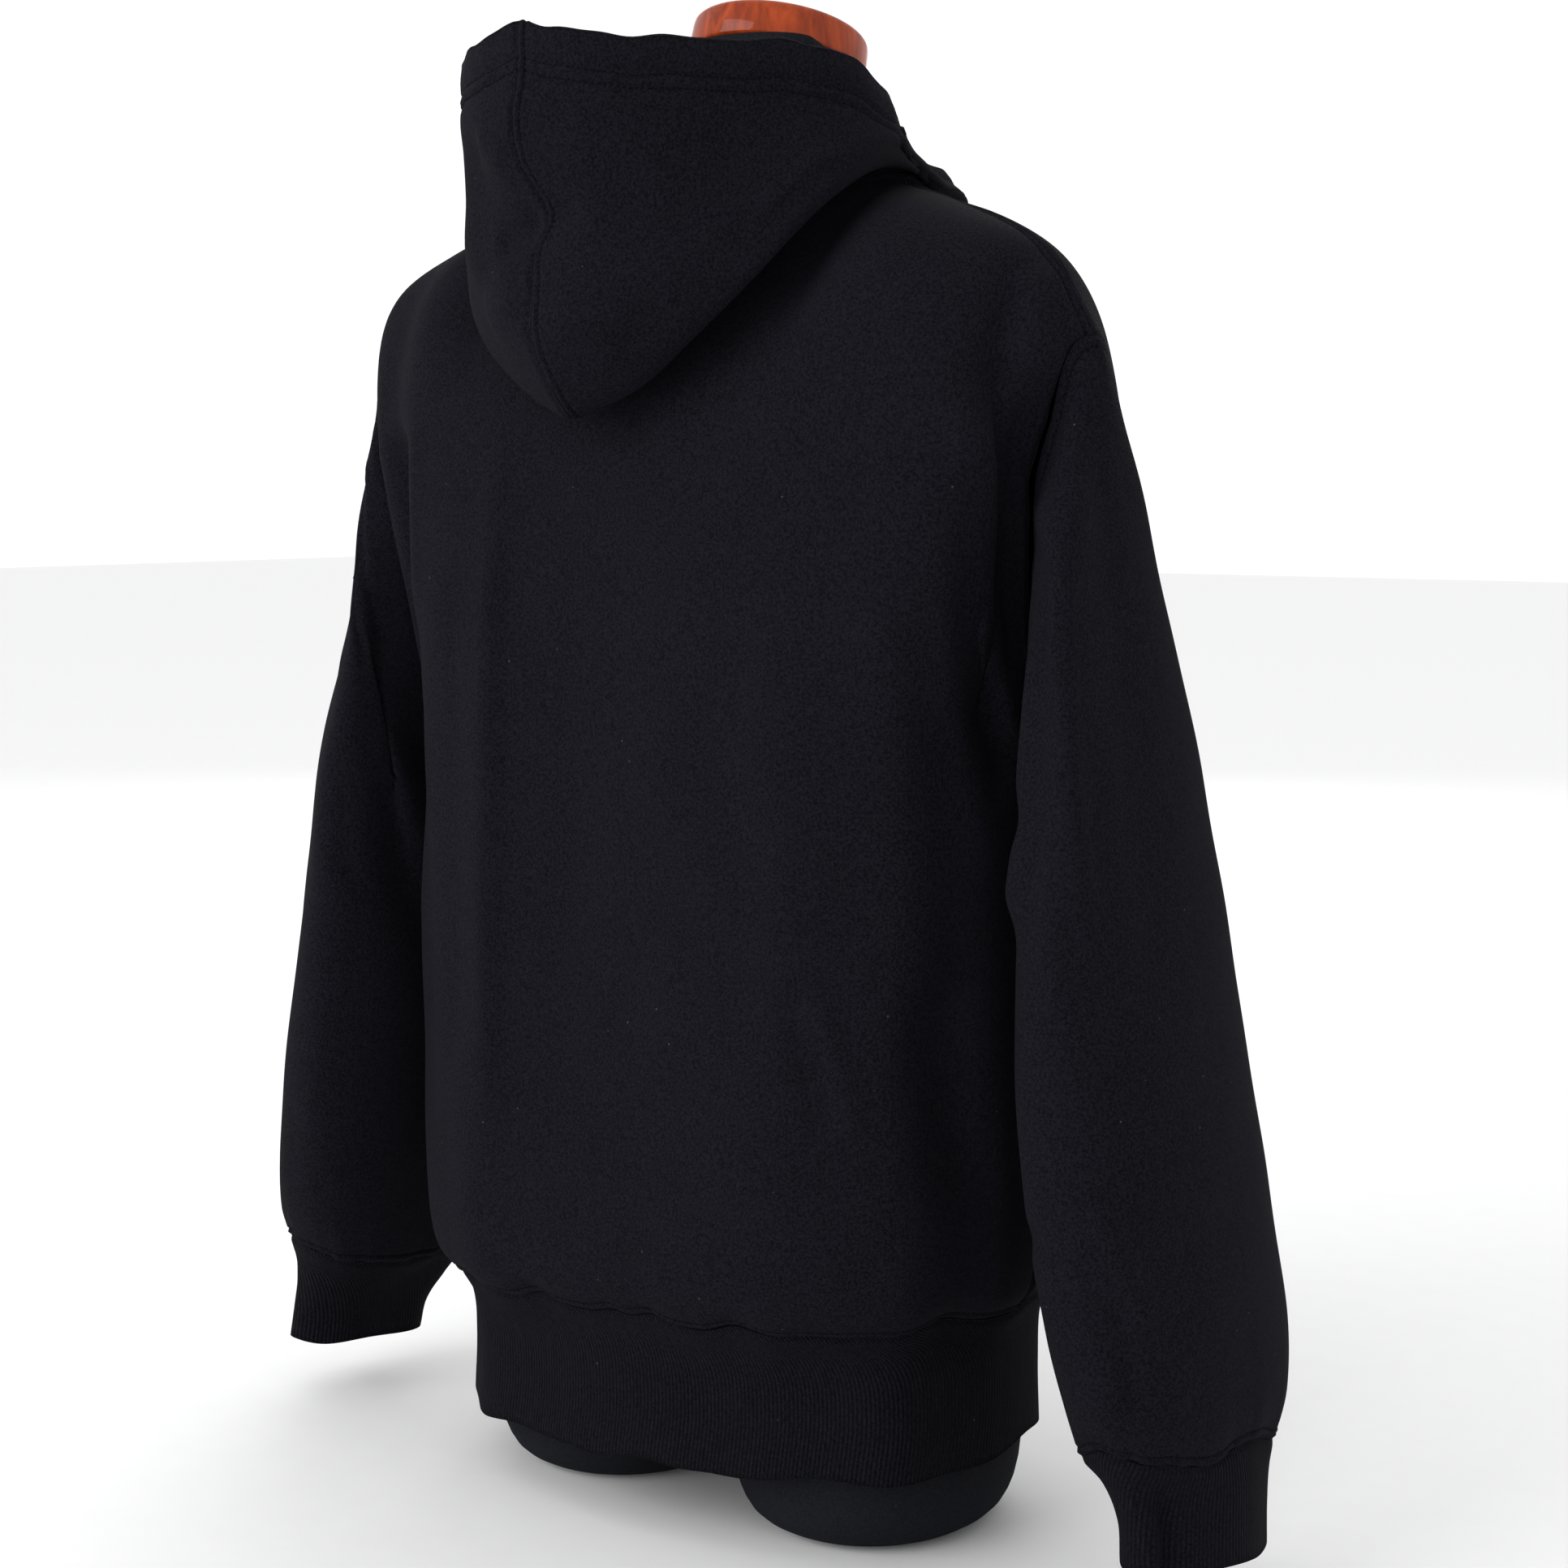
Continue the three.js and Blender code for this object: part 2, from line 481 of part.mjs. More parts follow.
// A closed solid through rings of points, with flat or domed ends made by a fan of triangles.
function loft(rings) {
  const sides = rings[0].length;
  const middle = (ring) => ring.reduce((sum, p) => sum.add(p), new THREE.Vector3()).divideScalar(sides);
  const points = [...rings.flat(), middle(rings[0]), middle(rings[rings.length - 1])];
  const index = [];
  const at = (row, side) => row * sides + (side % sides);
  rings.slice(1).forEach((_, row) => {
    for (let side = 0; side < sides; side += 1) {
      index.push(at(row, side), at(row, side + 1), at(row + 1, side + 1));
      index.push(at(row, side), at(row + 1, side + 1), at(row + 1, side));
    }
  });
  const low = rings.length * sides;
  for (let side = 0; side < sides; side += 1) {
    index.push(low, at(0, side + 1), at(0, side));
    index.push(low + 1, at(rings.length - 1, side), at(rings.length - 1, side + 1));
  }
  return indexedGeometry(points.flatMap((p) => [p.x, p.y, p.z]), index);
}

// ---------------------------------------------------------------- the object

const hoodie = new THREE.Group();
hoodie.name = 'pullover_hoodie';

function addPiece(name, geometry, finish, parent = hoodie) {
  const mesh = new THREE.Mesh(geometry, new THREE.MeshStandardMaterial(COLOURS[finish]));
  mesh.name = name;
  parent.add(mesh);
  return mesh;
}

// Columns across a panel, with even facets along the neck and along the shoulder.
function panelColumns() {
  const neck = steps(0, HPS, NECK_COLUMNS);
  const side = steps(HPS, 1, PANEL_HALF_COLUMNS - NECK_COLUMNS);
  const half = [...neck, ...side.slice(1)];
  return [...half.slice(1).reverse().map((share) => -share), ...half];
}

const flipped = (x) => new THREE.Vector3(x, 1, 1);
const bodyRows = [...steps(0, UNDERARM, BODY_ROWS), ...steps(UNDERARM, 1, ARMHOLE_ROWS).slice(1)];
const around = steps(0, 1, ARMHOLE_ROWS * 2);
const surfaces = {
  back: (share, at) => panelPoint('back', share, at),
  front: (share, at) => panelPoint('front', share, at),
};
const normals = {
  back: outward(surfaces.back, [-1, 1], [0, 1], false, true),
  front: outward(surfaces.front, [-1, 1], [0, 1], false, false),
  sleeve_left: outward(sleeveSurface('left'), around, [0, 1], true, true),
  sleeve_right: outward(sleeveSurface('right'), around, [0, 1], true, true),
  hem: outward(hemPoint, [0, 4], [0, 1], true, true),
};

// What lies on the other side of each of a panel's seams.
function acrossPanel(side) {
  const other = side === 'back' ? 'front' : 'back';
  return (share, at) => {
    const found = [];
    const edge = Math.abs(share) === 1;
    if (at === 0) found.push(normals.hem(side === 'back' ? 1 - share : share + 3, 0));
    if (edge && at > UNDERARM) {
      const sleeveNormal = normals[share > 0 ? 'sleeve_left' : 'sleeve_right'];
      const half = (1 - at) / (1 - UNDERARM) / 2;
      found.push(sleeveNormal(side === 'back' ? half : 1 - half, 0).multiply(flipped(share)));
    }
    const sideSeam = edge && at <= UNDERARM;
    const shoulderSeam = at === 1 && Math.abs(share) >= HPS;
    if (sideSeam || shoulderSeam) found.push(normals[other](share, at));
    return found;
  };
}

function addBody() {
  const seams = { u0: true, u1: true, v0: true, v1: true };
  const columns = panelColumns();
  ['back', 'front'].forEach((side) => {
    const options = { seams, flip: side === 'back', across: acrossPanel(side) };
    addPiece(side, wall(surfaces[side], columns, bodyRows, FLEECE, options), 'fleece');
  });
}

function addHem() {
  const shares = panelColumns();
  const back = shares.map((share) => 1 - share).reverse();
  const front = shares.map((share) => share + 3);
  const across = (round, at) => {
    if (at > 0) return [];
    const found = [round <= 2 ? normals.back(1 - round, 0) : normals.front(round - 3, 0)];
    if (round === 0 || round === 2) found.push(normals.front(1 - round, 0));
    return found;
  };
  const options = { seams: { v0: true }, ring: true, flip: true, across };
  const columns = [...back, ...front.slice(1)];
  addPiece('hem_rib', wall(hemPoint, columns, steps(0, 1, HEM_ROWS), RIB, options), 'rib');
}

function addSleeve(name, side) {
  const mirror = (surface) => (u, v) => surface(u, v).multiply(flipped(side));
  const sleeve = mirror(sleeveSurface(name));
  const cuff = mirror(cuffSurface(HANG[name]));
  const flip = side > 0;
  const sleeveNormal = outward(sleeve, around, [0, 1], true, flip);
  const cuffNormal = outward(cuff, around, [0, 1], true, flip);
  const acrossSleeve = (u, v) => {
    if (v === 1) return [cuffNormal(u, 0)];
    if (v > 0) return [];
    const panels = u === 0 ? ['back', 'front'] : [u <= 0.5 ? 'back' : 'front'];
    const at = mix(1, UNDERARM, Math.min(u, 1 - u) * 2);
    return panels.map((panel) => normals[panel](1, at).multiply(flipped(side)));
  };
  const acrossCuff = (u, v) => (v === 0 ? [sleeveNormal(u, 1)] : []);
  const sleeveOptions = { seams: { v0: true, v1: true }, ring: true, flip, across: acrossSleeve };
  const cuffOptions = { seams: { v0: true }, ring: true, flip, across: acrossCuff };
  const sleeveWall = wall(sleeve, around, steps(0, 1, SLEEVE_ROWS), FLEECE, sleeveOptions);
  const cuffWall = wall(cuff, around, steps(0, 1, CUFF_ROWS), RIB, cuffOptions);
  addPiece(`sleeve_${name}`, sleeveWall, 'fleece');
  addPiece(`cuff_${name}`, cuffWall, 'rib');
}

function addHoodHalf(name, side) {
  const surface = (at, along) => hoodPoint(at, along).multiply(flipped(side));
  const us = steps(0, 1, HOOD_COLUMNS);
  const vs = steps(0, 1, HOOD_ROWS);
  const normalOf = outward(surface, us, vs, false, side < 0);
  const across = (u, v) => (u === 0 ? [normalOf(u, v).multiply(flipped(-1))] : []);
  const options = { seams: { u0: true, u1: true, v0: true }, flip: side < 0, across };
  addPiece(`hood_${name}`, wall(surface, us, vs, FLEECE, options), 'fleece');
}

// One section of the form, tilted by degrees about its middle.
function formRing(row, sides, centre = { x: 0, y: 0 }, degrees = 0) {
  return steps(0, 1, sides).slice(0, -1).map((share) => {
    const angle = share * 2 * Math.PI;
    const half = Math.sin(angle) >= 0 ? row.back : -row.front;
    const x = row.x * power(Math.cos(angle), 2 / row.square);
    const y = half * power(Math.sin(angle), 2 / row.square);
    const middle = (row.back + row.front) / 2;
    const drop = (y - middle) * Math.tan(THREE.MathUtils.degToRad(degrees));
    return new THREE.Vector3(centre.x + x, centre.y + y, row.z + drop);
  });
}

function solidFrom(wasm, geometry) {
  const merged = mergeVertices(geometry);
  return new wasm.Manifold(new wasm.Mesh({
    numProp: 3,
    vertProperties: new Float32Array(merged.attributes.position.array),
    triVerts: new Uint32Array(merged.index.array),
  }));
}

function geometryFrom(solid) {
  const mesh = solid.getMesh();
  return indexedGeometry(mesh.vertProperties, Array.from(mesh.triVerts));
}

async function addForm() {
  const wasm = await Module();
  wasm.setup();
  const top = TORSO[TORSO.length - 1].z;
  const tiltAt = (z) => NECK_TILT * smooth((z - NECK_TILT_FROM) / (top - NECK_TILT_FROM));
  const torso = loft(TORSO.map((row) => formRing(row, TORSO_SIDES, undefined, tiltAt(row.z))));
  let body = solidFrom(wasm, torso);
  [-1, 1].forEach((side) => {
    const rows = [...STUB_FOOT, { z: STUB.top, share: 1 }];
    const rings = rows.map(({ z, share }) => formRing({
      z, x: STUB.halfWidth * share, back: STUB.halfDepth * share, front: -STUB.halfDepth * share,
      square: STUB.square,
    }, TORSO_SIDES, { x: side * STUB.x, y: STUB.y }));
    body = body.add(solidFrom(wasm, loft(rings)));
  });
  addPiece('form_torso', geometryFrom(body), 'formCloth');

  const last = TORSO[TORSO.length - 1];
  const { radius, height, bevel } = CAP;
  const profile = [[0, 0], [radius - bevel / 2, 0], [radius, bevel / 2], [radius, height - bevel],
    [radius - bevel, height], [0, height]].map(([r, y]) => new THREE.Vector2(r, y));
  const lathe = new THREE.LatheGeometry(profile, 40);
  lathe.deleteAttribute('normal');
  lathe.deleteAttribute('uv');
  const cap = addPiece('form_neck_cap', mergeVertices(lathe, 1e-4), 'wood');
  const tilt = THREE.MathUtils.degToRad(NECK_TILT);
  cap.rotation.x = Math.PI / 2 + tilt;
  const middle = (last.back + last.front) / 2;
  cap.position.set(0, middle - Math.sin(tilt) * CAP.gap, last.z + Math.cos(tilt) * CAP.gap);
}

addBody();
addHem();
addSleeve('left', 1);
addSleeve('right', -1);
addHoodHalf('left', 1);
addHoodHalf('right', -1);
await addForm();
hoodie.position.y = SHIFT_Y;

export default hoodie;
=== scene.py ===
# Pullover hoodie on a limbless dress form: the finished cloth, form, materials, light and camera.
# The tables are in millimetres, as the part's own are, and meshes are in metres.
# The front faces -Y and the wearer's left is +X.
import math
from functools import partial

import bpy
import numpy as np
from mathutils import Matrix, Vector


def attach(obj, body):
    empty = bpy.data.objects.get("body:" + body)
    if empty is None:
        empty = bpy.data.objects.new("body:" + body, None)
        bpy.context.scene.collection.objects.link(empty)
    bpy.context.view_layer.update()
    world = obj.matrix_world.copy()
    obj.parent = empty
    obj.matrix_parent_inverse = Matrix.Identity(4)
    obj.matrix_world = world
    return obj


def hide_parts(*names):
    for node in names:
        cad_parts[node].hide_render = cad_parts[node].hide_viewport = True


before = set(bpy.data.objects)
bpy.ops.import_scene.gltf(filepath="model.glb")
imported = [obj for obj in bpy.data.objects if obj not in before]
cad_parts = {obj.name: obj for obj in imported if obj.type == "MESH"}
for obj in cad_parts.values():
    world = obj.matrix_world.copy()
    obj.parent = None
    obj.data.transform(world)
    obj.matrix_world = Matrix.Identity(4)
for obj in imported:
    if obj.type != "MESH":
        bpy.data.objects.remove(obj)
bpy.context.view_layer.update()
TURN = 2 * math.pi

# -------------------- sizes

SHIFT_Y = -26.4  # from the tables' frame to the part's
FLEECE = 2.5  # thickness of the cloth
PROUD = 1.6  # how far soft cloth stands out from its solid's face
SEAM_GAP = 0.3  # between pieces that are sewn together
STEP = 3.6  # mesh spacing on the cloth
# Closer spacing of the mesh beside a seam, and down from the hood's rim across its stitched band.
NEAR_SEAM = [0, 0.8, 1.8, 3, 4.2, 5, 5.7, 6.5, 7.6, 9.6, 13]
NEAR_RIM = [0, 1, 2.4, 4.4, 7, 10, 13, 15.4, 16.8, 17.8, 18.5, 19.2, 20.2, 21.8]
NEAR_RIM += [23.3, 24.3, 25, 25.7, 26.8, 28.6, 31.6]
PLAIN = [0]

# Stitch rows, by their distance from the seam or from the hood's rim.
SEAM_ROW = 5.5
ARMHOLE_ROW = 6
CENTRE_ROW = 4.5
RIM_ROWS = (18.5, 25)
RIM_HEM = 27  # depth of the hem turned in at the hood's rim
STITCH_PITCH = 3.2
STITCH_LENGTH = 2.3
STITCH_WIDTH = 0.42  # half of the thread's width
STITCH_PROUD = 0.12
STITCH_SIDES = 5
RIB_PITCH = 2.4

UNDERARM = 0.5  # how far up a panel the armhole starts
YOKE = 0.86  # how far up a panel it starts to bend over the shoulder
NECK_SIDE = 0.25  # the share of a panel's half width that the neckline takes
HEM_TILT = 0.05  # how much the hem drops towards the left side, for each millimetre across
# How squarely a panel bends over the shoulder, and beside the neck.
SHOULDER_ROUND = {"back": 2.6, "front": 1.9}
NECK_ROUND = 1.25
HOOD_FOLD_AT = 0.42  # how far along the hood it folds back up
HOOD_STAND = 9  # how high the hood stands at the neck seam before it leans out
HOOD_LIFT = 12
AROUND = 400  # the crease tables' measure of the way round a sleeve, or along a hood's rim
ALONG_HOOD = 450  # and of the way from the neck seam to the hood's rim
# How open the cuff is, how far the arm swings out, and how much slimmer the upper arm lies.
HANG = {"left": (0.88, -5, 12), "right": (1.02, 4, 0)}


def table(names, *rows):
    """A table's columns by name."""
    return dict(zip(names.split(), np.array(rows, float).T))


# Front and back panels by height.
PANELS = table(
    "at z x zBack zFront back front square",
    (0.0, 130, 189, 130, 130, 116, -120, 2.6),
    (0.06, 148, 199, 148, 148, 126, -129, 2.7),
    (0.16, 205, 203, 205, 205, 127, -129, 2.8),
    (0.3, 300, 203, 305, 300, 123, -125, 3),
    (0.42, 390, 205, 402, 394, 123, -125, 3.1),
    (0.5, 440, 206, 462, 450, 124, -126, 3.2),
    (0.58, 458, 207, 508, 490, 124, -126, 3.2),
    (0.7, 516, 210, 570, 545, 123, -125, 3.1),
    (0.86, 592, 217, 634, 612, 119, -121, 3),
)
ARMHOLE = table(
    "at back front", (0.5, 0, 0), (0.54, 14, -12), (0.6, 28, -20), (0.7, 43, -26), (0.86, 57, -20)
)
SHOULDER = table(
    "at x y z",
    (0.25, 98, -22, 755),
    (0.4, 130, -8, 745),
    (0.6, 172, 10, 731),
    (0.76, 203, 23, 718),
    (0.87, 222, 31, 704),
    (0.94, 235, 34, 686),
    (1.0, 249, 34, 665),
)
NECKLINE = {
    "back": table(
        "at x y z", (0, 0, 72, 737), (0.0833, 42, 63, 740), (0.1667, 80, 30, 749), (0.25, 98, -22, 755)
    ),
    "front": table(
        "at x y z", (0, 0, -118, 697), (0.0833, 52, -110, 708), (0.1667, 92, -74, 738), (0.25, 98, -22, 755)
    ),
}
SLEEVE = table(
    "at xOut zOut xIn zIn y depth square lean",
    (0.12, 254, 612, 218, 422, 25, 43, 2.2, 2),
    (0.26, 264, 540, 217, 388, 19, 60, 2.2, 4),
    (0.42, 278, 448, 214, 338, 13, 79, 2.2, 6),
    (0.6, 296, 335, 214, 272, 8, 91, 2.2, 9),
    (0.77, 315, 228, 224, 200, 7, 96, 2.2, 12),
    (0.88, 328, 160, 237, 148, 6, 94, 2.2, 13),
    (0.95, 333, 118, 249, 113, 8, 85, 2.2, 12),
    (1.0, 331, 93, 256, 91, 10, 73, 2.2, 10),
)
CUFF = table(
    "at xOut zOut xIn zIn y depth square lean",
    (0, 331, 93, 256, 91, 10, 73, 2.2, 10),
    (0.25, 332, 78, 267, 77, 12, 62, 2.2, 9),
    (0.65, 334, 57, 278, 56, 16, 56, 2.2, 8),
    (1.0, 336, 37, 281, 36, 19, 55, 2.2, 7),
)
HEM = table(
    "at z x back front square",
    (0.0, 130, 189, 116, -120, 2.6),
    (0.2, 113, 182, 110, -118, 2.5),
    (0.6, 80, 180, 108, -119, 2.5),
    (1.0, 46, 181, 110, -120, 2.5),
)
HOOD = table(
    "at xFold yFold zFold xRim yRim zRim bulge dent",
    (0.0, 0, 147, 624, 0, 187, 822, 20, 15),
    (0.1, 34, 140, 639, 30, 182, 815, 15, 4),
    (0.2, 66, 134, 663, 58, 163, 812, 7, 0),
    (0.3, 95, 119, 695, 85, 134, 812, -2, 0),
    (0.4, 114, 94, 728, 107, 97, 813, -2, 0),
    (0.5, 121, 64, 750, 115, 62, 809, 1, 0),
    (0.6, 119, 28, 766, 110, 22, 797, 2, 0),
    (0.7, 105, -12, 768, 96, -12, 783, 1, 0),
    (0.8, 99, -52, 758, 91, -48, 774, 1, 0),
    (0.9, 84, -92, 742, 78, -86, 762, 1, 0),
    (1.0, 8, -136, 706, 6, -130, 726, 1, 0),
)

# The largest folds, as in the solids: across, slant, half width, low, high, height.
BACK_FOLDS = [
    (0.27, -0.08, 0.09, -0.1, 0.78, 6),
    (0.02, 0.05, 0.13, 0.05, 0.8, -5),
    (-0.26, 0.05, 0.12, -0.1, 0.7, 5),
    (-0.8, 0.26, 0.12, -0.15, 0.72, -9),
    (0.89, -0.29, 0.17, 0.34, 1.0, -19),
    (-0.88, 0, 0.1, 0.42, 1.02, -22),
]
FRONT_FOLDS = [
    (0.42, -0.15, 0.1, -0.1, 0.75, 6),
    (0.08, 0.06, 0.14, 0.0, 0.7, -5),
    (-0.38, 0.12, 0.1, -0.1, 0.75, 6),
]
SLEEVE_FOLDS = {
    "left": [
        (0.215, 0.09, 0.05, 0.02, 1.0, 5),
        (0.24, 0.36, 0.05, 0.12, 0.65, -8),
        (0.33, 0.36, 0.06, 0.03, 0.52, 6),
        (0.84, -0.06, 0.06, 0.1, 0.8, -6),
    ],
    "right": [
        (0.13, 0.12, 0.05, 0.0, 0.68, 6),
        (0.36, 0.0, 0.07, 0.03, 0.6, -10),
        (0.3, 0.12, 0.06, 0.45, 1.05, -5),
        (0.84, -0.06, 0.06, 0.1, 0.8, -6),
    ],
}

# Creases, each from one place to another: u0 v0 u1 v1, how far its middle bows sideways, half
# width, height (less than 0 for a trough). On a panel u and v are x and z in the tables' frame.
BACK_CREASES = [
    (166, 640, 152, 150, -10, 16, -4.5),
    (152, 640, 160, 470, -2, 9, 3.0),
    (177, 640, 182, 480, -2, 12, -6.0),
    (76, 650, 90, 170, -6, 10, 4.5),
    (106, 600, 118, 200, -6, 14, -4.0),
    (30, 560, 44, 190, 6, 20, -2.5),
    (-20, 600, -36, 180, 8, 24, 2.5),
    (-84, 560, -104, 240, -6, 18, -2.5),
    (-114, 330, -138, 236, 3, 7, -3.0),
    (-127, 336, -152, 240, 3, 7, 2.6),
    (-150, 336, -196, 322, -3, 6, -2.0),
    (-140, 352, -190, 346, 3, 7, 1.6),
    (-158, 560, -176, 300, 10, 14, 3.5),
    (-178, 340, -196, 190, -4, 10, -5.0),
    (196, 560, 150, 470, 8, 9, -2.5),
    (-196, 470, -150, 520, -6, 9, 2.4),
    (0, 650, 70, 560, 10, 20, -2.0),
    (-222, 706, -227, 640, 2, 9, 3.5),
]
FRONT_CREASES = [
    (152, 650, 164, 160, 10, 13, -6.0),
    (-146, 640, -158, 190, -8, 14, -5.5),
    (92, 610, 118, 150, 8, 12, 5.0),
    (-74, 590, -112, 150, -9, 13, 4.8),
    (26, 540, 44, 170, 6, 16, -3.6),
    (-22, 470, -38, 170, -6, 15, 3.2),
    (184, 590, 192, 300, 4, 9, 3.6),
    (-184, 560, -194, 330, -4, 9, 3.2),
    (150, 706, 64, 560, 14, 12, -4.2),
    (-146, 700, -66, 580, -12, 12, -3.8),
    (120, 690, 50, 600, 12, 10, 2.6),
    (-196, 470, -132, 526, 6, 8, 3.0),
    (196, 476, 140, 520, -6, 8, 3.0),
    (-194, 440, -138, 478, 5, 7, -2.6),
    (120, 246, 164, 186, -4, 7, -3.0),
    (104, 250, 148, 176, -4, 7, 2.6),
    (-130, 262, -172, 196, 4, 7, -3.0),
    (40, 204, 54, 146, 3, 8, 2.2),
    (-60, 198, -50, 144, -3, 8, 2.2),
]
# Round a sleeve u is the way round x AROUND, and v is the height of the sleeve's middle there.
RIGHT_SLEEVE_CREASES = [
    (68, 640, 62, 300, -4, 8, 5.0),
    (34, 640, 28, 250, 6, 16, -3.0),
    (96, 560, 110, 330, 6, 14, -4.0),
    (96, 372, 66, 332, 4, 7, -2.6),
    (104, 350, 78, 318, 3, 6, 2.0),
    (100, 550, 132, 370, 0, 26, 7.0),
    (84, 236, 60, 140, 5, 9, 4.0),
    (72, 190, 78, 100, 3, 8, -4.0),
    (150, 470, 110, 420, 5, 9, -3.0),
    (160, 440, 120, 384, 5, 9, 3.0),
    (330, 560, 310, 300, 8, 14, -4.0),
    (300, 420, 344, 360, 5, 9, -3.0),
    (290, 250, 330, 200, -4, 9, -2.6),
    (10, 220, 390, 190, 4, 9, -2.0),
]
LEFT_SLEEVE_CREASES = [
    (46, 600, 58, 525, 2, 14, 4.0),
    (84, 540, 88, 480, 2, 12, -3.0),
    (66, 500, 66, 420, 3, 16, 2.0),
    (96, 530, 144, 430, 0, 13, 3.5),
    (110, 440, 124, 350, 4, 14, -2.5),
    (40, 500, 44, 130, -6, 14, 3.5),
    (20, 480, 26, 160, 6, 14, -2.2),
    (60, 330, 66, 120, 4, 14, -2.6),
    (330, 560, 316, 300, 8, 14, -4.0),
    (296, 400, 340, 350, 5, 9, -3.0),
    (286, 240, 330, 190, -4, 9, -2.6),
]
# On a hood half u is at x AROUND, and v is along x ALONG_HOOD.
LEFT_HOOD_CREASES = [
    (0, 318, 46, 300, 5, 13, -6.5),
    (8, 352, 50, 372, -5, 15, 3.0),
    (6, 268, 52, 246, 5, 16, 3.0),
    (52, 400, 60, 270, 4, 30, -6.0),
    (30, 300, 96, 236, 8, 13, -2.5),
    (80, 420, 96, 260, 8, 18, 2.0),
    (120, 400, 150, 280, 6, 16, -2.0),
    (190, 420, 210, 330, 5, 12, -1.5),
]
RIGHT_HOOD_CREASES = [
    (4, 330, 34, 322, 4, 9, -3.5),
    (6, 262, 60, 232, 6, 16, 3.0),
    (40, 380, 110, 250, 10, 22, -2.5),
    (120, 240, 190, 262, -6, 14, 2.5),
    (250, 330, 330, 300, 5, 14, -2.0),
]

# Along the hood's centre seam: how far it strays to the wearer's right. at: as along the hood.
SEAM_STRAY = table(
    "at right",
    (0.42, 0),
    (0.46, 1),
    (0.53, -1.5),
    (0.6, -1.5),
    (0.66, -3.5),
    (0.705, 6),
    (0.743, 3),
    (0.79, -4),
    (0.86, -1),
    (0.91, 3),
    (1.0, 0),
)

TORSO = table(
    "z x back front square",
    (70, 150, 74, -84, 2.4),
    (110, 168, 90, -96, 2.4),
    (190, 166, 92, -96, 2.3),
    (330, 150, 78, -92, 2.3),
    (450, 163, 90, -104, 2.4),
    (570, 180, 98, -106, 2.5),
    (640, 196, 90, -92, 2.4),
    (676, 203.5, 76, -66, 2.2),
    (698, 205.5, 72, -58, 2.0),
    (713, 184.5, 62, -56, 2.0),
    (727, 131.5, 38, -60, 2.0),
    (744, 74.5, 36, -64, 2.0),
    (766, 56, 34, -70, 2.0),
    (796, 51, 26, -76, 2.0),
    (826, 49, 16, -82, 2.0),
)
NECK_TILT = math.radians(14.5)
NECK_TILT_FROM = 744
STUB = {"x": 90, "y": -9, "halfWidth": 79.5, "halfDepth": 89, "square": 2.05, "top": 130}
STUB_FOOT = [(0, 0.66), (1, 0.715), (3, 0.78), (6, 0.84), (10, 0.89), (16, 0.932)]
STUB_FOOT += [(22, 0.96), (32, 0.987), (42, 1)]
CAP = {"radius": 51, "height": 21, "bevel": 5}
FLOOR_HALF = 14  # metres
AIM = (0, 0, 0.5)  # what the lights point at, in metres

# -------------------- curves and surfaces


def mix(a, b, t):
    return a + (b - a) * t


def smooth(t):
    s = np.clip(t, 0, 1)
    return s * s * (3 - 2 * s)


def bell(t):
    """1 at t = 0, dying out evenly on both sides."""
    return np.exp(-(t**2))


def power(value, exponent):
    return np.sign(value) * np.abs(value) ** exponent


def pick(values, i):
    """values at the stops i; values may hold a column for each i."""
    return np.take_along_axis(values, i[None], 0)[0] if values.ndim > 1 else values[i]


def track(t, y, x):
    """A smooth curve through y at the stops t, read at x; y may hold a value for each x."""
    t, y, x = (np.asarray(a, float) for a in (t, y, x))
    last = len(t) - 1
    low = np.maximum(np.arange(last + 1) - 1, 0)
    high = np.minimum(np.arange(last + 1) + 1, last)
    slope = (y[high] - y[low]) / (t[high] - t[low]).reshape((-1,) + (1,) * (y.ndim - 1))
    i = np.clip(np.searchsorted(t, x, side="left") - 1, 0, last - 1)
    h = t[i + 1] - t[i]
    s = np.clip((x - t[i]) / h, 0, 1)
    bend = h * s * (1 - s) * ((1 - s) * pick(slope, i) - s * pick(slope, i + 1))
    return mix(pick(y, i), pick(y, i + 1), smooth(s)) + bend


def read(rows, x, key="at"):
    """Every column of a table at x."""
    return {name: track(rows[key], column, x) for name, column in rows.items() if name != key}


def through(points, stops, x):
    """A smooth curve through points, an array for each stop, read at x."""
    points = np.array(points)
    return np.stack([track(stops, points[..., k], x) for k in range(3)], -1)


def vector(x, y, z):
    return np.stack(np.broadcast_arrays(x, y, z), -1).astype(float)


def unit(v):
    return v / np.maximum(np.linalg.norm(v, axis=-1, keepdims=True), 1e-9)


def fold_height(folds, across, along, around=False):
    """How far the folds lift the cloth; around says that across comes back to its start at 1."""
    total = np.zeros_like(across)
    for at, slant, width, low, high, out in folds:
        off = across - at - slant * along
        if around:
            off = off - np.round(off)
        fade = smooth((along - low) / 0.15) * smooth((high - along) / 0.25)
        total += out * fade * bell(off / width)
    return total


def section_point(share, x, y_edge, y_middle, z_edge, z_middle, square):
    """On half of a rounded oblong, from its right edge (-1) over its middle to its left edge (1)."""
    angle = (1 - np.abs(share)) * TURN / 4
    out = np.abs(np.cos(angle)) ** (2 / square)
    deep = np.abs(np.sin(angle)) ** (2 / square)
    return vector(np.sign(share) * x * out, mix(y_edge, y_middle, deep), mix(z_edge, z_middle, deep))


def outward(point):
    """The way that the body's folds stand out: level, and mostly to the back or the front."""
    return unit(vector(point[..., 0] * 0.35, point[..., 1], 0))


def panel_folds(side, share, at):
    folds = BACK_FOLDS if side == "back" else FRONT_FOLDS
    return fold_height(folds, share, at) * smooth((1 - np.abs(share)) / 0.15)


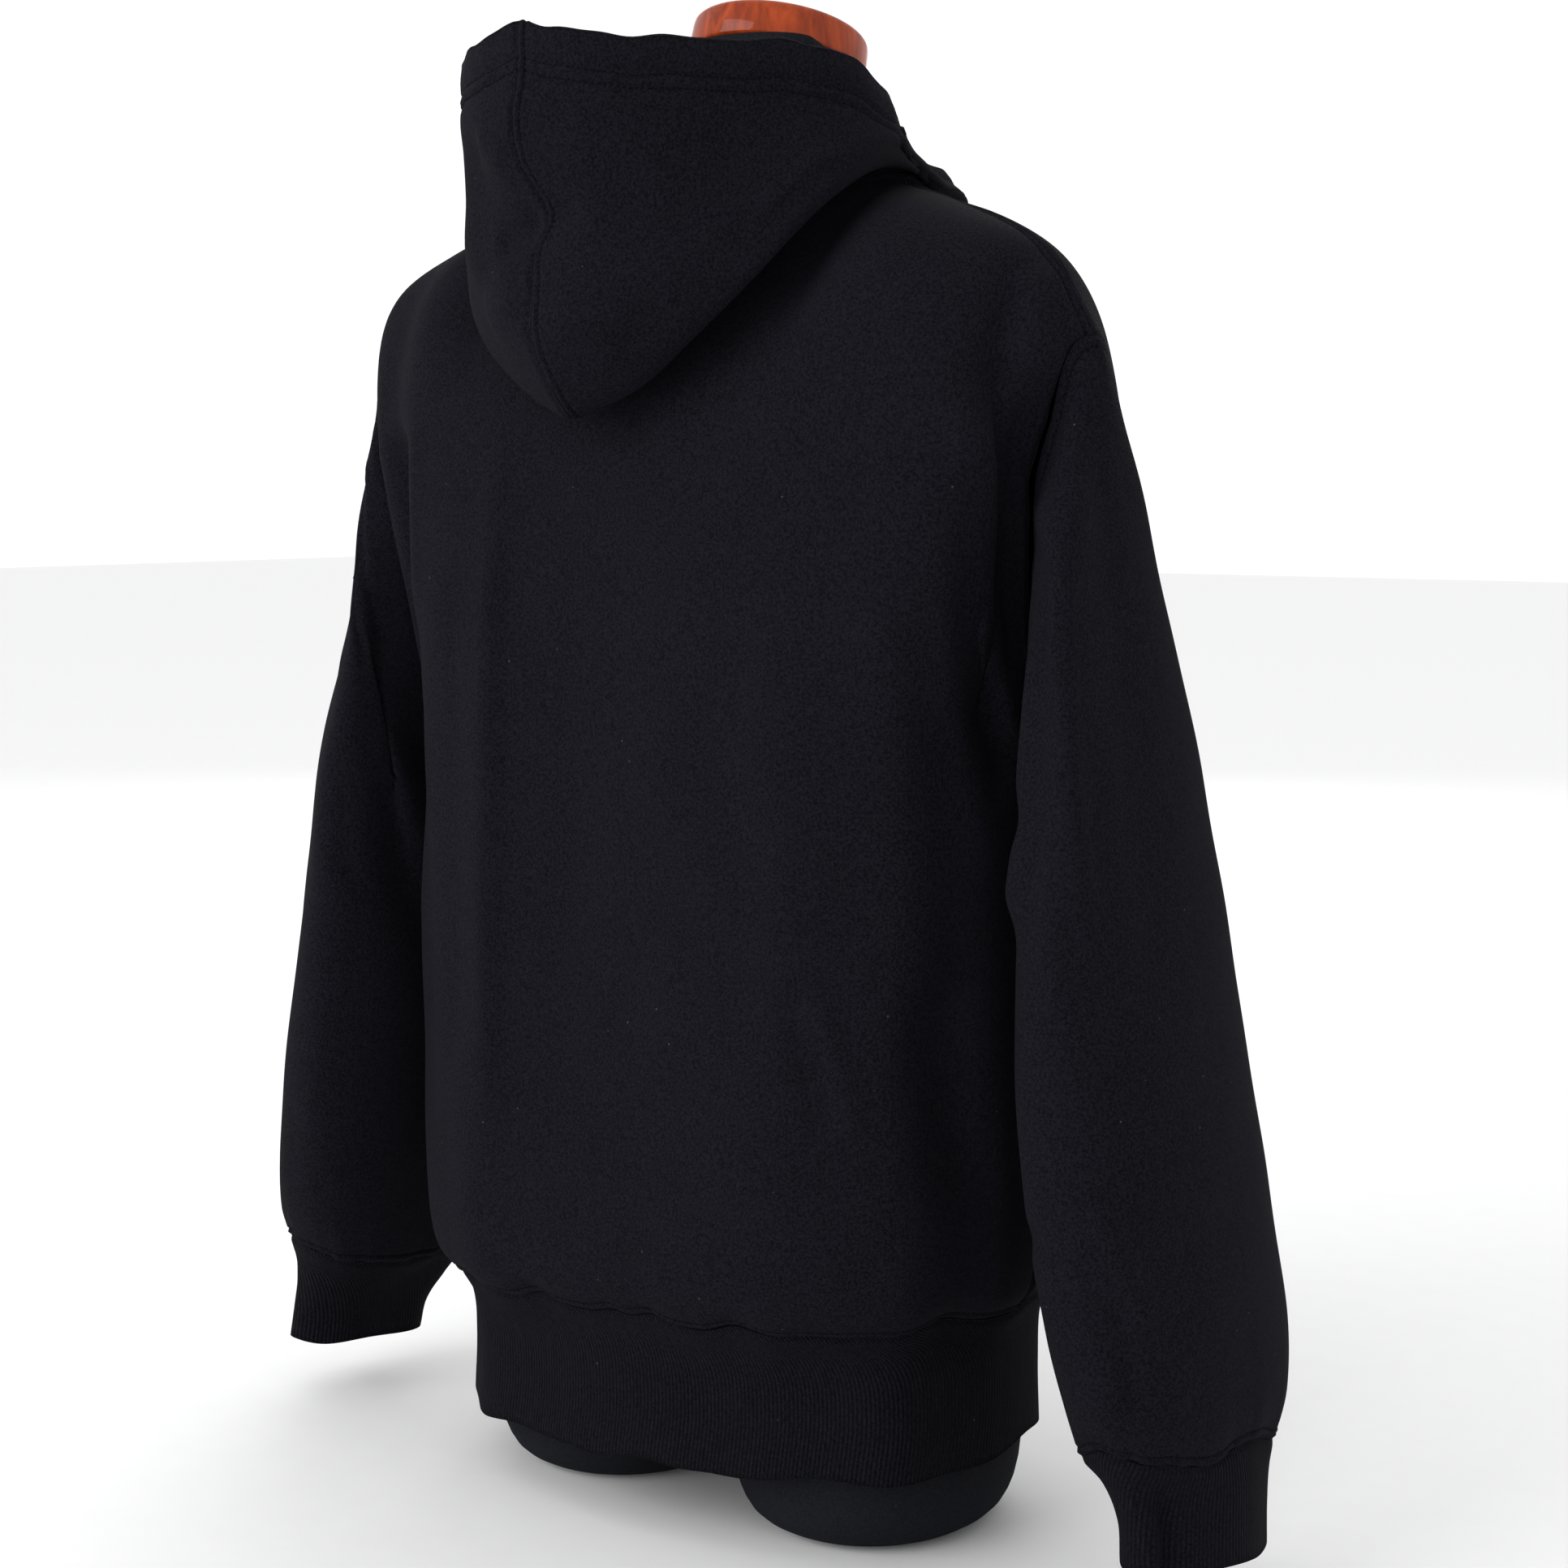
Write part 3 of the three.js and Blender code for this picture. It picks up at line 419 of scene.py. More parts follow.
def panel_lower(side, share, at):
    row = read(PANELS, at)
    y_edge = np.where(at > UNDERARM, track(ARMHOLE["at"], ARMHOLE[side], at), 0)
    z_middle = row["zBack" if side == "back" else "zFront"]
    point = section_point(share, row["x"], y_edge, row[side], row["z"], z_middle, row["square"])
    point[..., 2] -= HEM_TILT * point[..., 0] * (1 - smooth(at / UNDERARM))
    return point + outward(point) * panel_folds(side, share, at)[..., None]


def panel_top(side, share):
    at = np.abs(share)
    over, neck = read(SHOULDER, at), read(NECKLINE[side], at)
    x, y, z = (np.where(at >= NECK_SIDE, over[k], neck[k]) for k in "xyz")
    return vector(np.sign(share) * x, y, z)


def panel_point(side, share, at):
    lower = panel_lower(side, share, np.minimum(at, YOKE))
    top = panel_top(side, share)
    turn = np.clip((at - YOKE) / (1 - YOKE), 0, 1) * TURN / 4
    bend = mix(NECK_ROUND, SHOULDER_ROUND[side], smooth((np.abs(share) - 0.12) / 0.4))
    rise = np.sin(turn) ** (2 / bend)
    reach = 1 - np.abs(np.cos(turn)) ** (2 / bend)
    return vector(
        mix(lower[..., 0], top[..., 0], mix(rise, reach, 0.3)),
        mix(lower[..., 1], top[..., 1], reach),
        mix(lower[..., 2], top[..., 2], rise),
    )


def tube_point(row, across):
    """On a sleeve's ring; across is the way round, from the outside over the back."""
    angle = across * TURN
    out = (1 + power(np.cos(angle), 2 / row["square"])) / 2
    deep = power(np.sin(angle), 2 / row["square"])
    z = mix(row["zIn"], row["zOut"], out) + row["lean"] * deep
    return vector(mix(row["xIn"], row["xOut"], out), row["y"] + row["depth"] * deep, z)


def armhole_point(across):
    turn = np.mod(across, 1)
    half = np.minimum(turn, 1 - turn)
    share, at = np.ones_like(turn), mix(1, UNDERARM, half * 2)
    behind, ahead = panel_point("back", share, at), panel_point("front", share, at)
    return np.where((turn <= 0.5)[..., None], behind, ahead)


def sleeve_rows(side):
    cuff_open, swing, tuck = HANG[side]
    rows = {name: column.copy() for name, column in SLEEVE.items()}
    out = swing * np.sin(math.pi * rows["at"])
    rows["xOut"] += out - tuck * bell((rows["at"] - 0.24) / 0.11)
    rows["xIn"] += out
    rows["depth"] *= mix(1, cuff_open, smooth((rows["at"] - 0.7) / 0.3))
    return rows


def sleeve_point(side, across, at):
    rows = sleeve_rows(side)
    points = [armhole_point(across)]
    for i in range(len(rows["at"])):
        points.append(tube_point({name: column[i] for name, column in rows.items()}, across))
    spot = through(points, np.append(0, rows["at"]), at)
    middle = read(rows, np.maximum(at, rows["at"][0]))
    off_x = spot[..., 0] - (middle["xIn"] + middle["xOut"]) / 2
    away = unit(vector(off_x, spot[..., 1] - middle["y"], 0 * at))
    return spot + away * fold_height(SLEEVE_FOLDS[side], across, at, True)[..., None]


def cuff_point(side, across, at):
    rows = dict(CUFF, depth=CUFF["depth"] * HANG[side][0])
    return tube_point(read(rows, at), across)


def hem_point(turn, at):
    """turn goes from 0 at the left side over the back (1) to the right side (2), then the front."""
    row = read(HEM, at)
    back = turn <= 2
    share = np.where(back, 1 - turn, turn - 3)
    y_middle = np.where(back, row["back"], row["front"])
    point = section_point(share, row["x"], 0, y_middle, row["z"], row["z"], row["square"])
    folds = np.where(back, panel_folds("back", share, 0 * at), panel_folds("front", share, 0 * at))
    point[..., 2] -= HEM_TILT * point[..., 0]
    return point + outward(point) * (folds * (1 - smooth(at * 2.5)))[..., None]


def neck_seam(at):
    side_share = np.where(at <= 0.5, at, 1 - at) * 2 * NECK_SIDE
    behind, ahead = (read(NECKLINE[side], side_share) for side in ("back", "front"))
    x, y, z = (np.where(at <= 0.5, behind[k], ahead[k]) for k in "xyz")
    return vector(x, y, z + SEAM_GAP)


def hood_point(at, along):
    row = read(HOOD, at)
    neck = neck_seam(at)
    fold = vector(row["xFold"], row["yFold"], row["zFold"])
    rim = vector(row["xRim"], row["yRim"], row["zRim"])
    away = unit(vector(row["xFold"] - neck[..., 0] * 0.4, row["yFold"] - neck[..., 1] * 0.4, 0 * at))
    lift = vector(0, 0, HOOD_LIFT * smooth(1.6 - at * 2))
    stand = neck + away * HOOD_STAND / 2 + np.array([0, 0, HOOD_STAND])
    points = [
        neck,
        stand,
        mix(neck, fold, 0.5) + lift,
        fold,
        mix(fold, rim, 0.2) + away * (row["bulge"] + 4)[..., None],
        mix(fold, rim, 0.5) + away * (row["bulge"] - row["dent"])[..., None],
        mix(fold, rim, 0.78) + away * (row["bulge"] * 0.75)[..., None],
        rim,
    ]
    return through(points, [0, 0.08, 0.24, HOOD_FOLD_AT, 0.54, 0.7, 0.87, 1], along)


# -------------------- grids of cloth


def lengths(line):
    return np.append(0, np.cumsum(np.linalg.norm(np.diff(line, axis=0), axis=1)))


def stops(length, step, start, end):
    """Shares of a length at an even step, with the closer spacing given for its start and end."""
    count = max(int(round((length - start[-1] - end[-1]) / step)), 2)
    middle = np.linspace(start[-1], length - end[-1], count + 1)
    return np.unique(np.concatenate([start[:-1], middle, length - np.array(end[:-1])])) / length


def along_line(surface_line, first, last, start=NEAR_SEAM, end=NEAR_SEAM):
    """Parameters that lie at those stops along one line of a surface."""
    fine = np.linspace(first, last, 1500)
    far = lengths(surface_line(fine))
    return np.interp(stops(far[-1], STEP, start, end) * far[-1], far, fine)


def normals_of(points, ring, sign):
    closed = np.roll(points, -1, 0) - np.roll(points, 1, 0)
    across = closed if ring else np.gradient(points, axis=0)
    along = np.gradient(points, axis=1)
    return unit(np.cross(across, along)) * sign


class Cloth:
    """A grid of points on one piece of cloth, with its distances from each edge in millimetres."""

    def __init__(self, columns, levels, surface, ring, sign):
        self.u, self.v = np.meshgrid(columns, levels, indexing="ij")
        self.ring, self.sign = ring, sign
        self.points = surface(self.u, self.v)
        along = np.linalg.norm(np.diff(self.points, axis=1), axis=2)
        self.from_v0 = np.pad(np.cumsum(along, 1), ((0, 0), (1, 0)))
        self.from_v1 = self.from_v0[:, -1:] - self.from_v0
        across = np.linalg.norm(np.diff(self.points, axis=0), axis=2)
        self.from_u0 = np.pad(np.cumsum(across, 0), ((1, 0), (0, 0)))
        self.from_u1 = self.from_u0[-1:] - self.from_u0
        self.normals = normals_of(self.points, ring, sign)

    def push(self, height):
        """Moves the cloth out along its normals, or in where height is less than 0."""
        self.points = self.points + self.normals * height[..., None]
        self.normals = normals_of(self.points, self.ring, self.sign)

    def crease(self, u, v, rows, wrap=None):
        """Pushes out the ridges and troughs in rows; wrap is where u comes back to its start."""
        total = np.zeros_like(u)
        for u0, v0, u1, v1, bow, width, height in rows:
            long = math.hypot(u1 - u0, v1 - v0)
            way_u, way_v = (u1 - u0) / long, (v1 - v0) / long
            from_u, from_v = u - u0, v - v0
            if wrap:
                from_u = (from_u + wrap / 2) % wrap - wrap / 2
            t = (from_u * way_u + from_v * way_v) / long
            off = from_u * way_v - from_v * way_u - bow * 4 * t * (1 - t)
            fade = smooth(t / 0.3) * smooth((1 - t) / 0.3)
            total += height * fade * bell(off / width)
        self.push(total)

    def at_distance(self, edge, distance):
        """The line of points and normals on the cloth at a distance from an edge."""
        far = getattr(self, "from_" + edge)
        axis = 1 if edge[0] == "v" else 0
        far = far if axis == 1 else far.T
        grid = self.points if axis == 1 else self.points.transpose(1, 0, 2)
        facing = self.normals if axis == 1 else self.normals.transpose(1, 0, 2)
        line, out = [], []
        for i in range(len(far)):
            order = np.argsort(far[i])
            line.append([np.interp(distance, far[i][order], grid[i][order, k]) for k in range(3)])
            out.append([np.interp(distance, far[i][order], facing[i][order, k]) for k in range(3)])
        if self.ring and axis == 1:
            line.append(line[0])
            out.append(out[0])
        return np.array(line), np.array(out)


def wave(position, *terms):
    """An uneven ripple: each term is a wavelength, a phase and a share of the height."""
    return sum(share * np.sin(TURN * position / length + phase) for length, phase, share in terms)


def seam_dip(distance, depth, row=None, width=2.6):
    """The roll of the cloth into a seam, with the shallow groove that a stitch row pulls in."""
    height = -depth * bell(distance / width)
    if row:
        height = height - 1.1 * bell((distance - row) / 1.2) + 0.7 * bell((distance - row * 0.55) / 1.8)
    return height


def pucker(distance, position, height, reach, seed):
    """The small gathers beside a seam, dying out over reach."""
    ripple = wave(position, (23, seed, 0.5), (37, seed * 2.1 + 1, 0.6), (14.5, seed * 3.7 + 2, 0.3))
    return height * ripple * np.exp(-distance / reach)


def soft(cloth, seed, height=0.6):
    """The slight unevenness of a heavy cloth that hangs free, well away from its seams."""
    x, y, z = (cloth.points[..., k] for k in range(3))
    ripple = wave(x + 0.35 * z, (97, seed, 0.5), (61, seed * 1.7, 0.3))
    ripple = ripple + wave(z - 0.4 * x + 0.5 * y, (131, seed * 2.3, 0.5), (83, seed * 0.6, 0.3))
    cloth.push(height * ripple)


def tucked(z, distance):
    """How far the armhole seam behind the right arm is drawn in, in the fold there."""
    return 15 * smooth((z - 450) / 60) * smooth((668 - z) / 50) * bell(distance / 18)


def cuff_seam_wave(side, angle):
    """How far a cuff's seam lies above its even line; angle is the way round x AROUND."""
    if side == "right":
        return wave(angle, (100, 1.9, 2.8), (57, 2.0, 1.6))
    lifted = bell(((angle - 76 + AROUND / 2) % AROUND - AROUND / 2) / 24)
    return wave(angle, (100, 0.4, 1.8), (57, 2.0, 1.0)) + 12 * lifted


def turns_round(x, y):
    """Where a point is round the body, from -0.5 to 0.5 of a turn."""
    return np.arctan2(y, x) / TURN


def hem_wave(x, y):
    """How far the hem seam lies above its even line."""
    return wave(turns_round(x, y), (1 / 18, 0.4, 1.3), (1 / 11, 2.0, 1.6), (1 / 29, 1.1, 0.7))


# -------------------- meshes


def new_object(name, vertices, faces, material, uv=None):
    """An object from points in the tables' frame; each face is a list of its corners."""
    mesh = bpy.data.meshes.new(name)
    points = np.asarray(vertices, np.float32).copy()
    points[:, 1] += SHIFT_Y
    points *= 0.001
    sizes = np.array([len(face) for face in faces], np.int32)
    corners = np.concatenate(faces).astype(np.int32)
    mesh.vertices.add(len(points))
    mesh.vertices.foreach_set("co", points.ravel())
    mesh.loops.add(len(corners))
    mesh.loops.foreach_set("vertex_index", corners)
    mesh.polygons.add(len(sizes))
    mesh.polygons.foreach_set("loop_start", np.append(0, np.cumsum(sizes)[:-1]).astype(np.int32))
    if uv is not None:
        layer = mesh.uv_layers.new(name="cloth")
        layer.data.foreach_set("uv", np.asarray(uv, np.float32)[corners].ravel())
    mesh.update(calc_edges=True)
    mesh.validate()
    mesh.materials.append(material)
    mesh.shade_smooth()
    obj = bpy.data.objects.new(name, mesh)
    bpy.context.scene.collection.objects.link(obj)
    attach(obj, "root")
    return obj


def mirrored_in_x(vertices):
    return vertices * np.array([-1, 1, 1])


def shell(name, cloth, thickness, material, mirror=False, uv_offset=0.0):
    """A closed shell: the cloth's outer grid, its inner grid and rounded edges between them."""
    outer, inner = cloth.points, cloth.points - cloth.normals * np.asarray(thickness)[..., None]
    wide, tall = outer.shape[:2]
    index = np.arange(wide * tall).reshape(wide, tall)
    nexts = np.roll(index, -1, 0) if cloth.ring else index[1:]
    heres = index if cloth.ring else index[:-1]
    quads = np.stack([heres[:, :-1], nexts[:, :-1], nexts[:, 1:], heres[:, 1:]], -1).reshape(-1, 4)
    quads = quads if cloth.sign > 0 else quads[:, ::-1]
    vertices = [outer.reshape(-1, 3), inner.reshape(-1, 3)]
    total = wide * tall
    faces = [quads, quads[:, ::-1] + total]
    uvs = [np.stack([cloth.from_u0, cloth.from_v0], -1).reshape(-1, 2) * 0.001 + uv_offset] * 2
    if cloth.ring:
        loops = [index[:, 0][::-1], index[:, -1]]
    else:
        rim = [index[:, -1], index[-1, ::-1][1:], index[::-1, 0][1:], index[0, 1:-1]]
        loops = [np.concatenate(rim)]
    flat_out, flat_in = vertices[0], vertices[1]
    base = 2 * total
    for loop in loops:
        i, j = np.divmod(loop, tall)
        inside_i = i if cloth.ring else np.clip(i, 1, wide - 2)
        inside_j = np.clip(j, 1, tall - 2)
        away = unit(flat_out[loop] - flat_out[inside_i * tall + inside_j])
        gap = np.linalg.norm(flat_out[loop] - flat_in[loop], axis=1, keepdims=True)
        rows = [loop]
        for share, bulge in ((0.2, 0.26), (0.5, 0.38), (0.8, 0.26)):
            spot = mix(flat_out[loop], flat_in[loop], share) + away * gap * bulge
            vertices.append(spot)
            uvs.append(uvs[0][loop])
            rows.append(base + np.arange(len(loop)))
            base += len(loop)
        rows.append(loop + total)
        for row, below in zip(rows[:-1], rows[1:]):
            strip = np.stack([row, below, np.roll(below, -1), np.roll(row, -1)], -1)
            faces.append(strip if cloth.sign > 0 else strip[:, ::-1])
    vertices, faces, uvs = np.concatenate(vertices), np.concatenate(faces), np.concatenate(uvs)
    if mirror:
        vertices = mirrored_in_x(vertices)
        faces = faces[:, ::-1]
    return new_object(name, vertices, faces, material, uvs)


def stitch_row(line, out):
    """Stitches along a line: each is a slim spindle that lies in the cloth, tied down at its ends."""
    far = lengths(line)
    count = int(far[-1] / STITCH_PITCH)
    starts = (np.arange(count) + 0.5) * STITCH_PITCH

    def at(distance, values):
        return np.stack([np.interp(distance, far, values[:, k]) for k in range(3)], -1)

    first, last = at(starts - STITCH_LENGTH / 2, line), at(starts + STITCH_LENGTH / 2, line)
    normal = unit(at(starts, out))
    side = unit(np.cross(unit(last - first), normal))
    middle = (first + last) / 2 + normal * STITCH_PROUD
    low, high = normal * 0.15, normal * STITCH_PROUD * 0.6
    rings = [(first - low, 0.1), (mix(first, middle, 0.4) + high, 0.85)]
    rings += [(mix(last, middle, 0.4) + high, 0.85), (last - low, 0.1)]
    vertices, one = [], []
    for centre, share in rings:
        for turn in range(STITCH_SIDES):
            angle = turn * TURN / STITCH_SIDES
            way = side * math.cos(angle) + normal * math.sin(angle) * 0.8
            vertices.append(centre + way * STITCH_WIDTH * share)
    vertices = np.stack(vertices, 1).reshape(-1, 3)
    for ring in range(len(rings) - 1):
        for turn in range(STITCH_SIDES):
            corner = ring * STITCH_SIDES + turn
            beside = ring * STITCH_SIDES + (turn + 1) % STITCH_SIDES
            one.append([corner, beside, beside + STITCH_SIDES, corner + STITCH_SIDES])
    base = np.arange(count) * STITCH_SIDES * len(rings)
    faces = (np.array(one)[None] + base[:, None, None]).reshape(-1, 4)
    return vertices, faces


def stitches(name, rows, mirror):
    """One object for a piece's stitch rows, each on a cloth at a distance from one of its edges."""
    vertices, faces, base = [], [], 0
    for cloth, edge, distance in rows:
        points, quads = stitch_row(*cloth.at_distance(edge, distance))
        vertices.append(mirrored_in_x(points) if mirror else points)
        faces.append(quads + base)
        base += len(points)
    return new_object(name, np.concatenate(vertices), np.concatenate(faces), thread)


# -------------------- materials


class Surface:
    """A material under construction, with short ways to add its nodes."""

    def __init__(self, name, colour, roughness):
        self.material = bpy.data.materials.new(name)
        self.material.use_nodes = True
        self.nodes, self.links = self.material.node_tree.nodes, self.material.node_tree.links
        self.shader = self.nodes["Principled BSDF"]
        self.set("Base Color", (*colour, 1))
        self.set("Roughness", roughness)
        self.place = self.nodes.new("ShaderNodeTexCoord").outputs["Object"]

    def set(self, socket, value):
        self.shader.inputs[socket].default_value = value

    def node(self, kind, **values):
        """A node with its sockets, or its own settings where it has no such socket, set by name."""
        made = self.nodes.new(kind)
        for key, value in values.items():
            if key in made.inputs.keys():
                made.inputs[key].default_value = value
            else:
                setattr(made, key, value)
        return made

    def noise(self, vector, **values):
        made = self.node("ShaderNodeTexNoise", **values)
        self.links.new(vector, made.inputs["Vector"])
        return made.outputs[0]

    def calculate(self, operation, *values):
        made = self.node("ShaderNodeMath", operation=operation)
        for socket, value in zip(made.inputs, values):
            if isinstance(value, (int, float)):
                socket.default_value = value
            else:
                self.links.new(value, socket)
        return made.outputs[0]

    def ramp(self, value, *stops):
        """Colour by value, from one stop, a position and a colour, to another."""
        made = self.nodes.new("ShaderNodeValToRGB")
        for element, (position, colour) in zip(made.color_ramp.elements, stops):
            element.position, element.color = position, (*colour, 1)
        self.links.new(value, made.inputs[0])
        return made.outputs[0]

    def bump(self, height, strength, distance):
        made = self.node("ShaderNodeBump", Strength=strength, Distance=distance)
        self.links.new(height, made.inputs["Height"])
        self.links.new(made.outputs[0], self.shader.inputs["Normal"])


def cloth_material(name, dark, light, knit, ribbed=False):
    """Dense knit cloth: a fine face of wales and courses, short fuzz, slow colour drift and lint, with
    painted shade darkening the grooves between ribs on ribbed cloth.
    """
    cloth = Surface(name, dark, 0.95)
    calculate, links = cloth.calculate, cloth.links
    cloth.set("Sheen Weight", 0.008)
    cloth.set("Sheen Roughness", 0.6)
    cloth.set("Sheen Tint", (0.75, 0.8, 1.0, 1))
    cloth.set("Specular IOR Level", 0.03)
    uv = cloth.node("ShaderNodeUVMap", uv_map="cloth")
    split = cloth.nodes.new("ShaderNodeSeparateXYZ")
    links.new(uv.outputs[0], split.inputs[0])
    drift = cloth.noise(cloth.place, Scale=22.0, Detail=4.0, Roughness=0.6)
    fuzz = cloth.noise(cloth.place, Scale=700.0, Detail=4.0, Roughness=0.7)
    tone = calculate("MULTIPLY_ADD", fuzz, 0.92, calculate("MULTIPLY", drift, 0.08))
    wales = calculate("SINE", calculate("MULTIPLY", split.outputs[0], TURN / knit))
    courses = calculate("MULTIPLY_ADD", split.outputs[1], TURN / (knit * 0.8), wales)
    face = calculate("MULTIPLY_ADD", wales, 0.3, calculate("MULTIPLY", calculate("SINE", courses), 0.25))
    height = calculate("MULTIPLY_ADD", fuzz, 2.4, face)
    colour = cloth.ramp(tone, (0.39, dark), (0.6, light))
    if ribbed:
        turn = calculate("MULTIPLY", split.outputs[0], 1000 * TURN / RIB_PITCH)
        ribs = calculate("POWER", calculate("MULTIPLY_ADD", calculate("SINE", turn), 0.5, 0.5), 0.6)
        height = calculate("MULTIPLY_ADD", ribs, 6.0, height)
        # Painted shade: the colour is darkened in the grooves between the ribs, where shade falls.
        groove_shade = cloth.node("ShaderNodeMix", data_type="RGBA", blend_type="MULTIPLY")
        groove_shade.inputs[0].default_value = 0.85
        links.new(colour, groove_shade.inputs[6])
        links.new(calculate("MULTIPLY_ADD", ribs, 0.6, 0.5), groove_shade.inputs[7])
        colour = groove_shade.outputs[2]
    lint = cloth.node("ShaderNodeTexVoronoi", Scale=60.0, Randomness=1.0)
    links.new(cloth.place, lint.inputs["Vector"])
    lint_split = cloth.nodes.new("ShaderNodeSeparateColor")
    links.new(lint.outputs["Color"], lint_split.inputs[0])
    small = calculate("LESS_THAN", lint.outputs["Distance"], 0.034)
    few = calculate("LESS_THAN", lint_split.outputs[0], 0.5)
    speck = cloth.node("ShaderNodeMix", data_type="RGBA")
    links.new(calculate("MULTIPLY", small, few), speck.inputs[0])
    links.new(colour, speck.inputs[6])
    speck.inputs[7].default_value = (0.036, 0.036, 0.041, 1)
    links.new(speck.outputs[2], cloth.shader.inputs["Base Color"])
    cloth.bump(height, 0.5, 0.0003)
    return cloth.material


def thread_material():
    twisted = Surface("black_thread", (0.0036, 0.0034, 0.005), 0.85)
    twisted.set("Specular IOR Level", 0.03)
    twisted.bump(twisted.noise(twisted.place, Scale=1800.0, Detail=2.0), 0.4, 0.0001)
    return twisted.material


def wood_material():
    """Red-brown stained wood under a thin gloss, its grain drawn out along one tilted way."""
    stained = Surface("stained_wood", (0.26, 0.034, 0.005), 0.4)
    stained.set("Specular IOR Level", 0.05)
    stained.set("Coat Weight", 0.35)
    stained.set("Coat Roughness", 0.05)
    tilt = stained.node("ShaderNodeMapping", Rotation=(0.9, 0.15, 0.3), Scale=(1, 1, 0.16))
    stained.links.new(stained.place, tilt.inputs["Vector"])
    streaks = stained.noise(tilt.outputs[0], Scale=150.0, Detail=6.0, Roughness=0.6, Distortion=0.6)
    colour = stained.ramp(streaks, (0.32, (0.15, 0.016, 0.002)), (0.7, (0.38, 0.052, 0.007)))
    stained.links.new(colour, stained.shader.inputs["Base Color"])
    stained.bump(streaks, 0.12, 0.0002)
    return stained.material


def floor_material():
    pale = Surface("pale_floor", (0.83, 0.83, 0.83), 0.8)
    drift = pale.noise(pale.place, Scale=40.0, Detail=3.0)
    colour = pale.ramp(drift, (0, (0.81, 0.81, 0.815)), (1, (0.84, 0.84, 0.84)))
    pale.links.new(colour, pale.shader.inputs["Base Color"])
    return pale.material


fleece = cloth_material("black_fleece", (0.0026, 0.0024, 0.0038), (0.0082, 0.0077, 0.011), 0.0011)
rib_knit = cloth_material("black_rib", (0.0028, 0.0026, 0.0039), (0.0076, 0.0072, 0.0102), 0.0011, True)
jersey = cloth_material("charcoal_jersey", (0.0076, 0.0079, 0.01), (0.0122, 0.0128, 0.0163), 0.0009)
thread = thread_material()
wood = wood_material()

# -------------------- the garment


def make_panel(side, creases):
    """A panel of the body: v0 is its edge at the hem, v1 at shoulder and neck, u0 and u1 at the sides."""
    surface = partial(panel_point, side)
    half = along_line(lambda share: surface(share, 0 * share + 0.35), 0, 1, start=PLAIN)
    half = np.unique(np.append(half, NECK_SIDE))
    columns = np.concatenate([-half[:0:-1], half])
    levels = along_line(lambda at: surface(0 * at + 0.4, at), 0, 1)
    cloth = Cloth(columns, levels, surface, False, -1 if side == "back" else 1)
    x, z = cloth.points[..., 0].copy(), cloth.points[..., 2].copy()
    cloth.crease(x, z, creases)
    soft(cloth, 0.7 if side == "back" else 2.9)
    seam = hem_wave(cloth.points[..., 0], cloth.points[..., 1]) * bell(cloth.from_v0 / 30)
    cloth.points[..., 2] += seam
    arm = cloth.v > UNDERARM
    beside = np.minimum(cloth.from_u0, cloth.from_u1)
    if side == "back":
        cloth.points[..., 1] -= np.where(arm, tucked(z, cloth.from_u0), 0)
    cloth.push(0 * x)
    if side == "back":
        edge = 13 * bell((cloth.from_u0 - 40) / 14) - 9 * bell((cloth.from_u0 - 14) / 9)
        cloth.push(np.where(arm, edge * smooth((z - 470) / 60) * smooth((650 - z) / 50), 0))
    height = seam_dip(cloth.from_v0, 1.5, SEAM_ROW) + pucker(cloth.from_v0, x, 0.15, 14, 0.3)
    height += seam_dip(cloth.from_v1, 1.6, SEAM_ROW)
    height += seam_dip(beside, 1.8) - np.where(arm, 0.5, 0) * bell((beside - ARMHOLE_ROW) / 1.1)
    height += np.where(arm, 1, 0.35) * pucker(beside, z, 0.5, 9, 1.9)
    cloth.push(height)
    return cloth


def make_hem():
    quarter = along_line(lambda turn: hem_point(turn, 0 * turn), 0, 1, PLAIN, PLAIN)
    columns = np.concatenate([quarter, 2 - quarter[::-1][1:], 2 + quarter[1:], 4 - quarter[::-1][1:-1]])
    levels = along_line(lambda at: hem_point(0 * at + 1, at), 0, 1, end=PLAIN)
    cloth = Cloth(columns, levels, hem_point, True, -1)
    x, y = cloth.points[..., 0], cloth.points[..., 1]
    seam = hem_wave(x, y) * bell(cloth.from_v0 / 40)
    edge = wave(turns_round(x, y), (1 / 8, 0.6, 1.5), (1 / 15, 2.2, 0.8))
    cloth.points[..., 2] += seam + edge * smooth(cloth.from_v0 / 80)
    position = cloth.from_u0
    bulge = wave(cloth.u / 4, (1 / 8, 0.9, 1.6), (1 / 12, 2.7, 1.2), (1 / 5, 1.4, 1.8))
    cloth.push(bulge * smooth(cloth.from_v0 / 40))
    cloth.push(seam_dip(cloth.from_v0, 1.4) + pucker(cloth.from_v0, position, 0.12, 12, 2.2))
    return cloth


def tube_cloth(surface, at, end=NEAR_SEAM):
    """Cloth all round a sleeve or cuff, evenly spaced where its ring is the one at at."""
    half = along_line(lambda across: surface(across, 0 * across + at), 0, 0.5, PLAIN, PLAIN)
    columns = np.concatenate([half, 1 - half[::-1][1:-1]])
    levels = along_line(lambda along: surface(0 * along + 0.02, along), 0, 1, end=end)
    return Cloth(columns, levels, surface, True, -1)


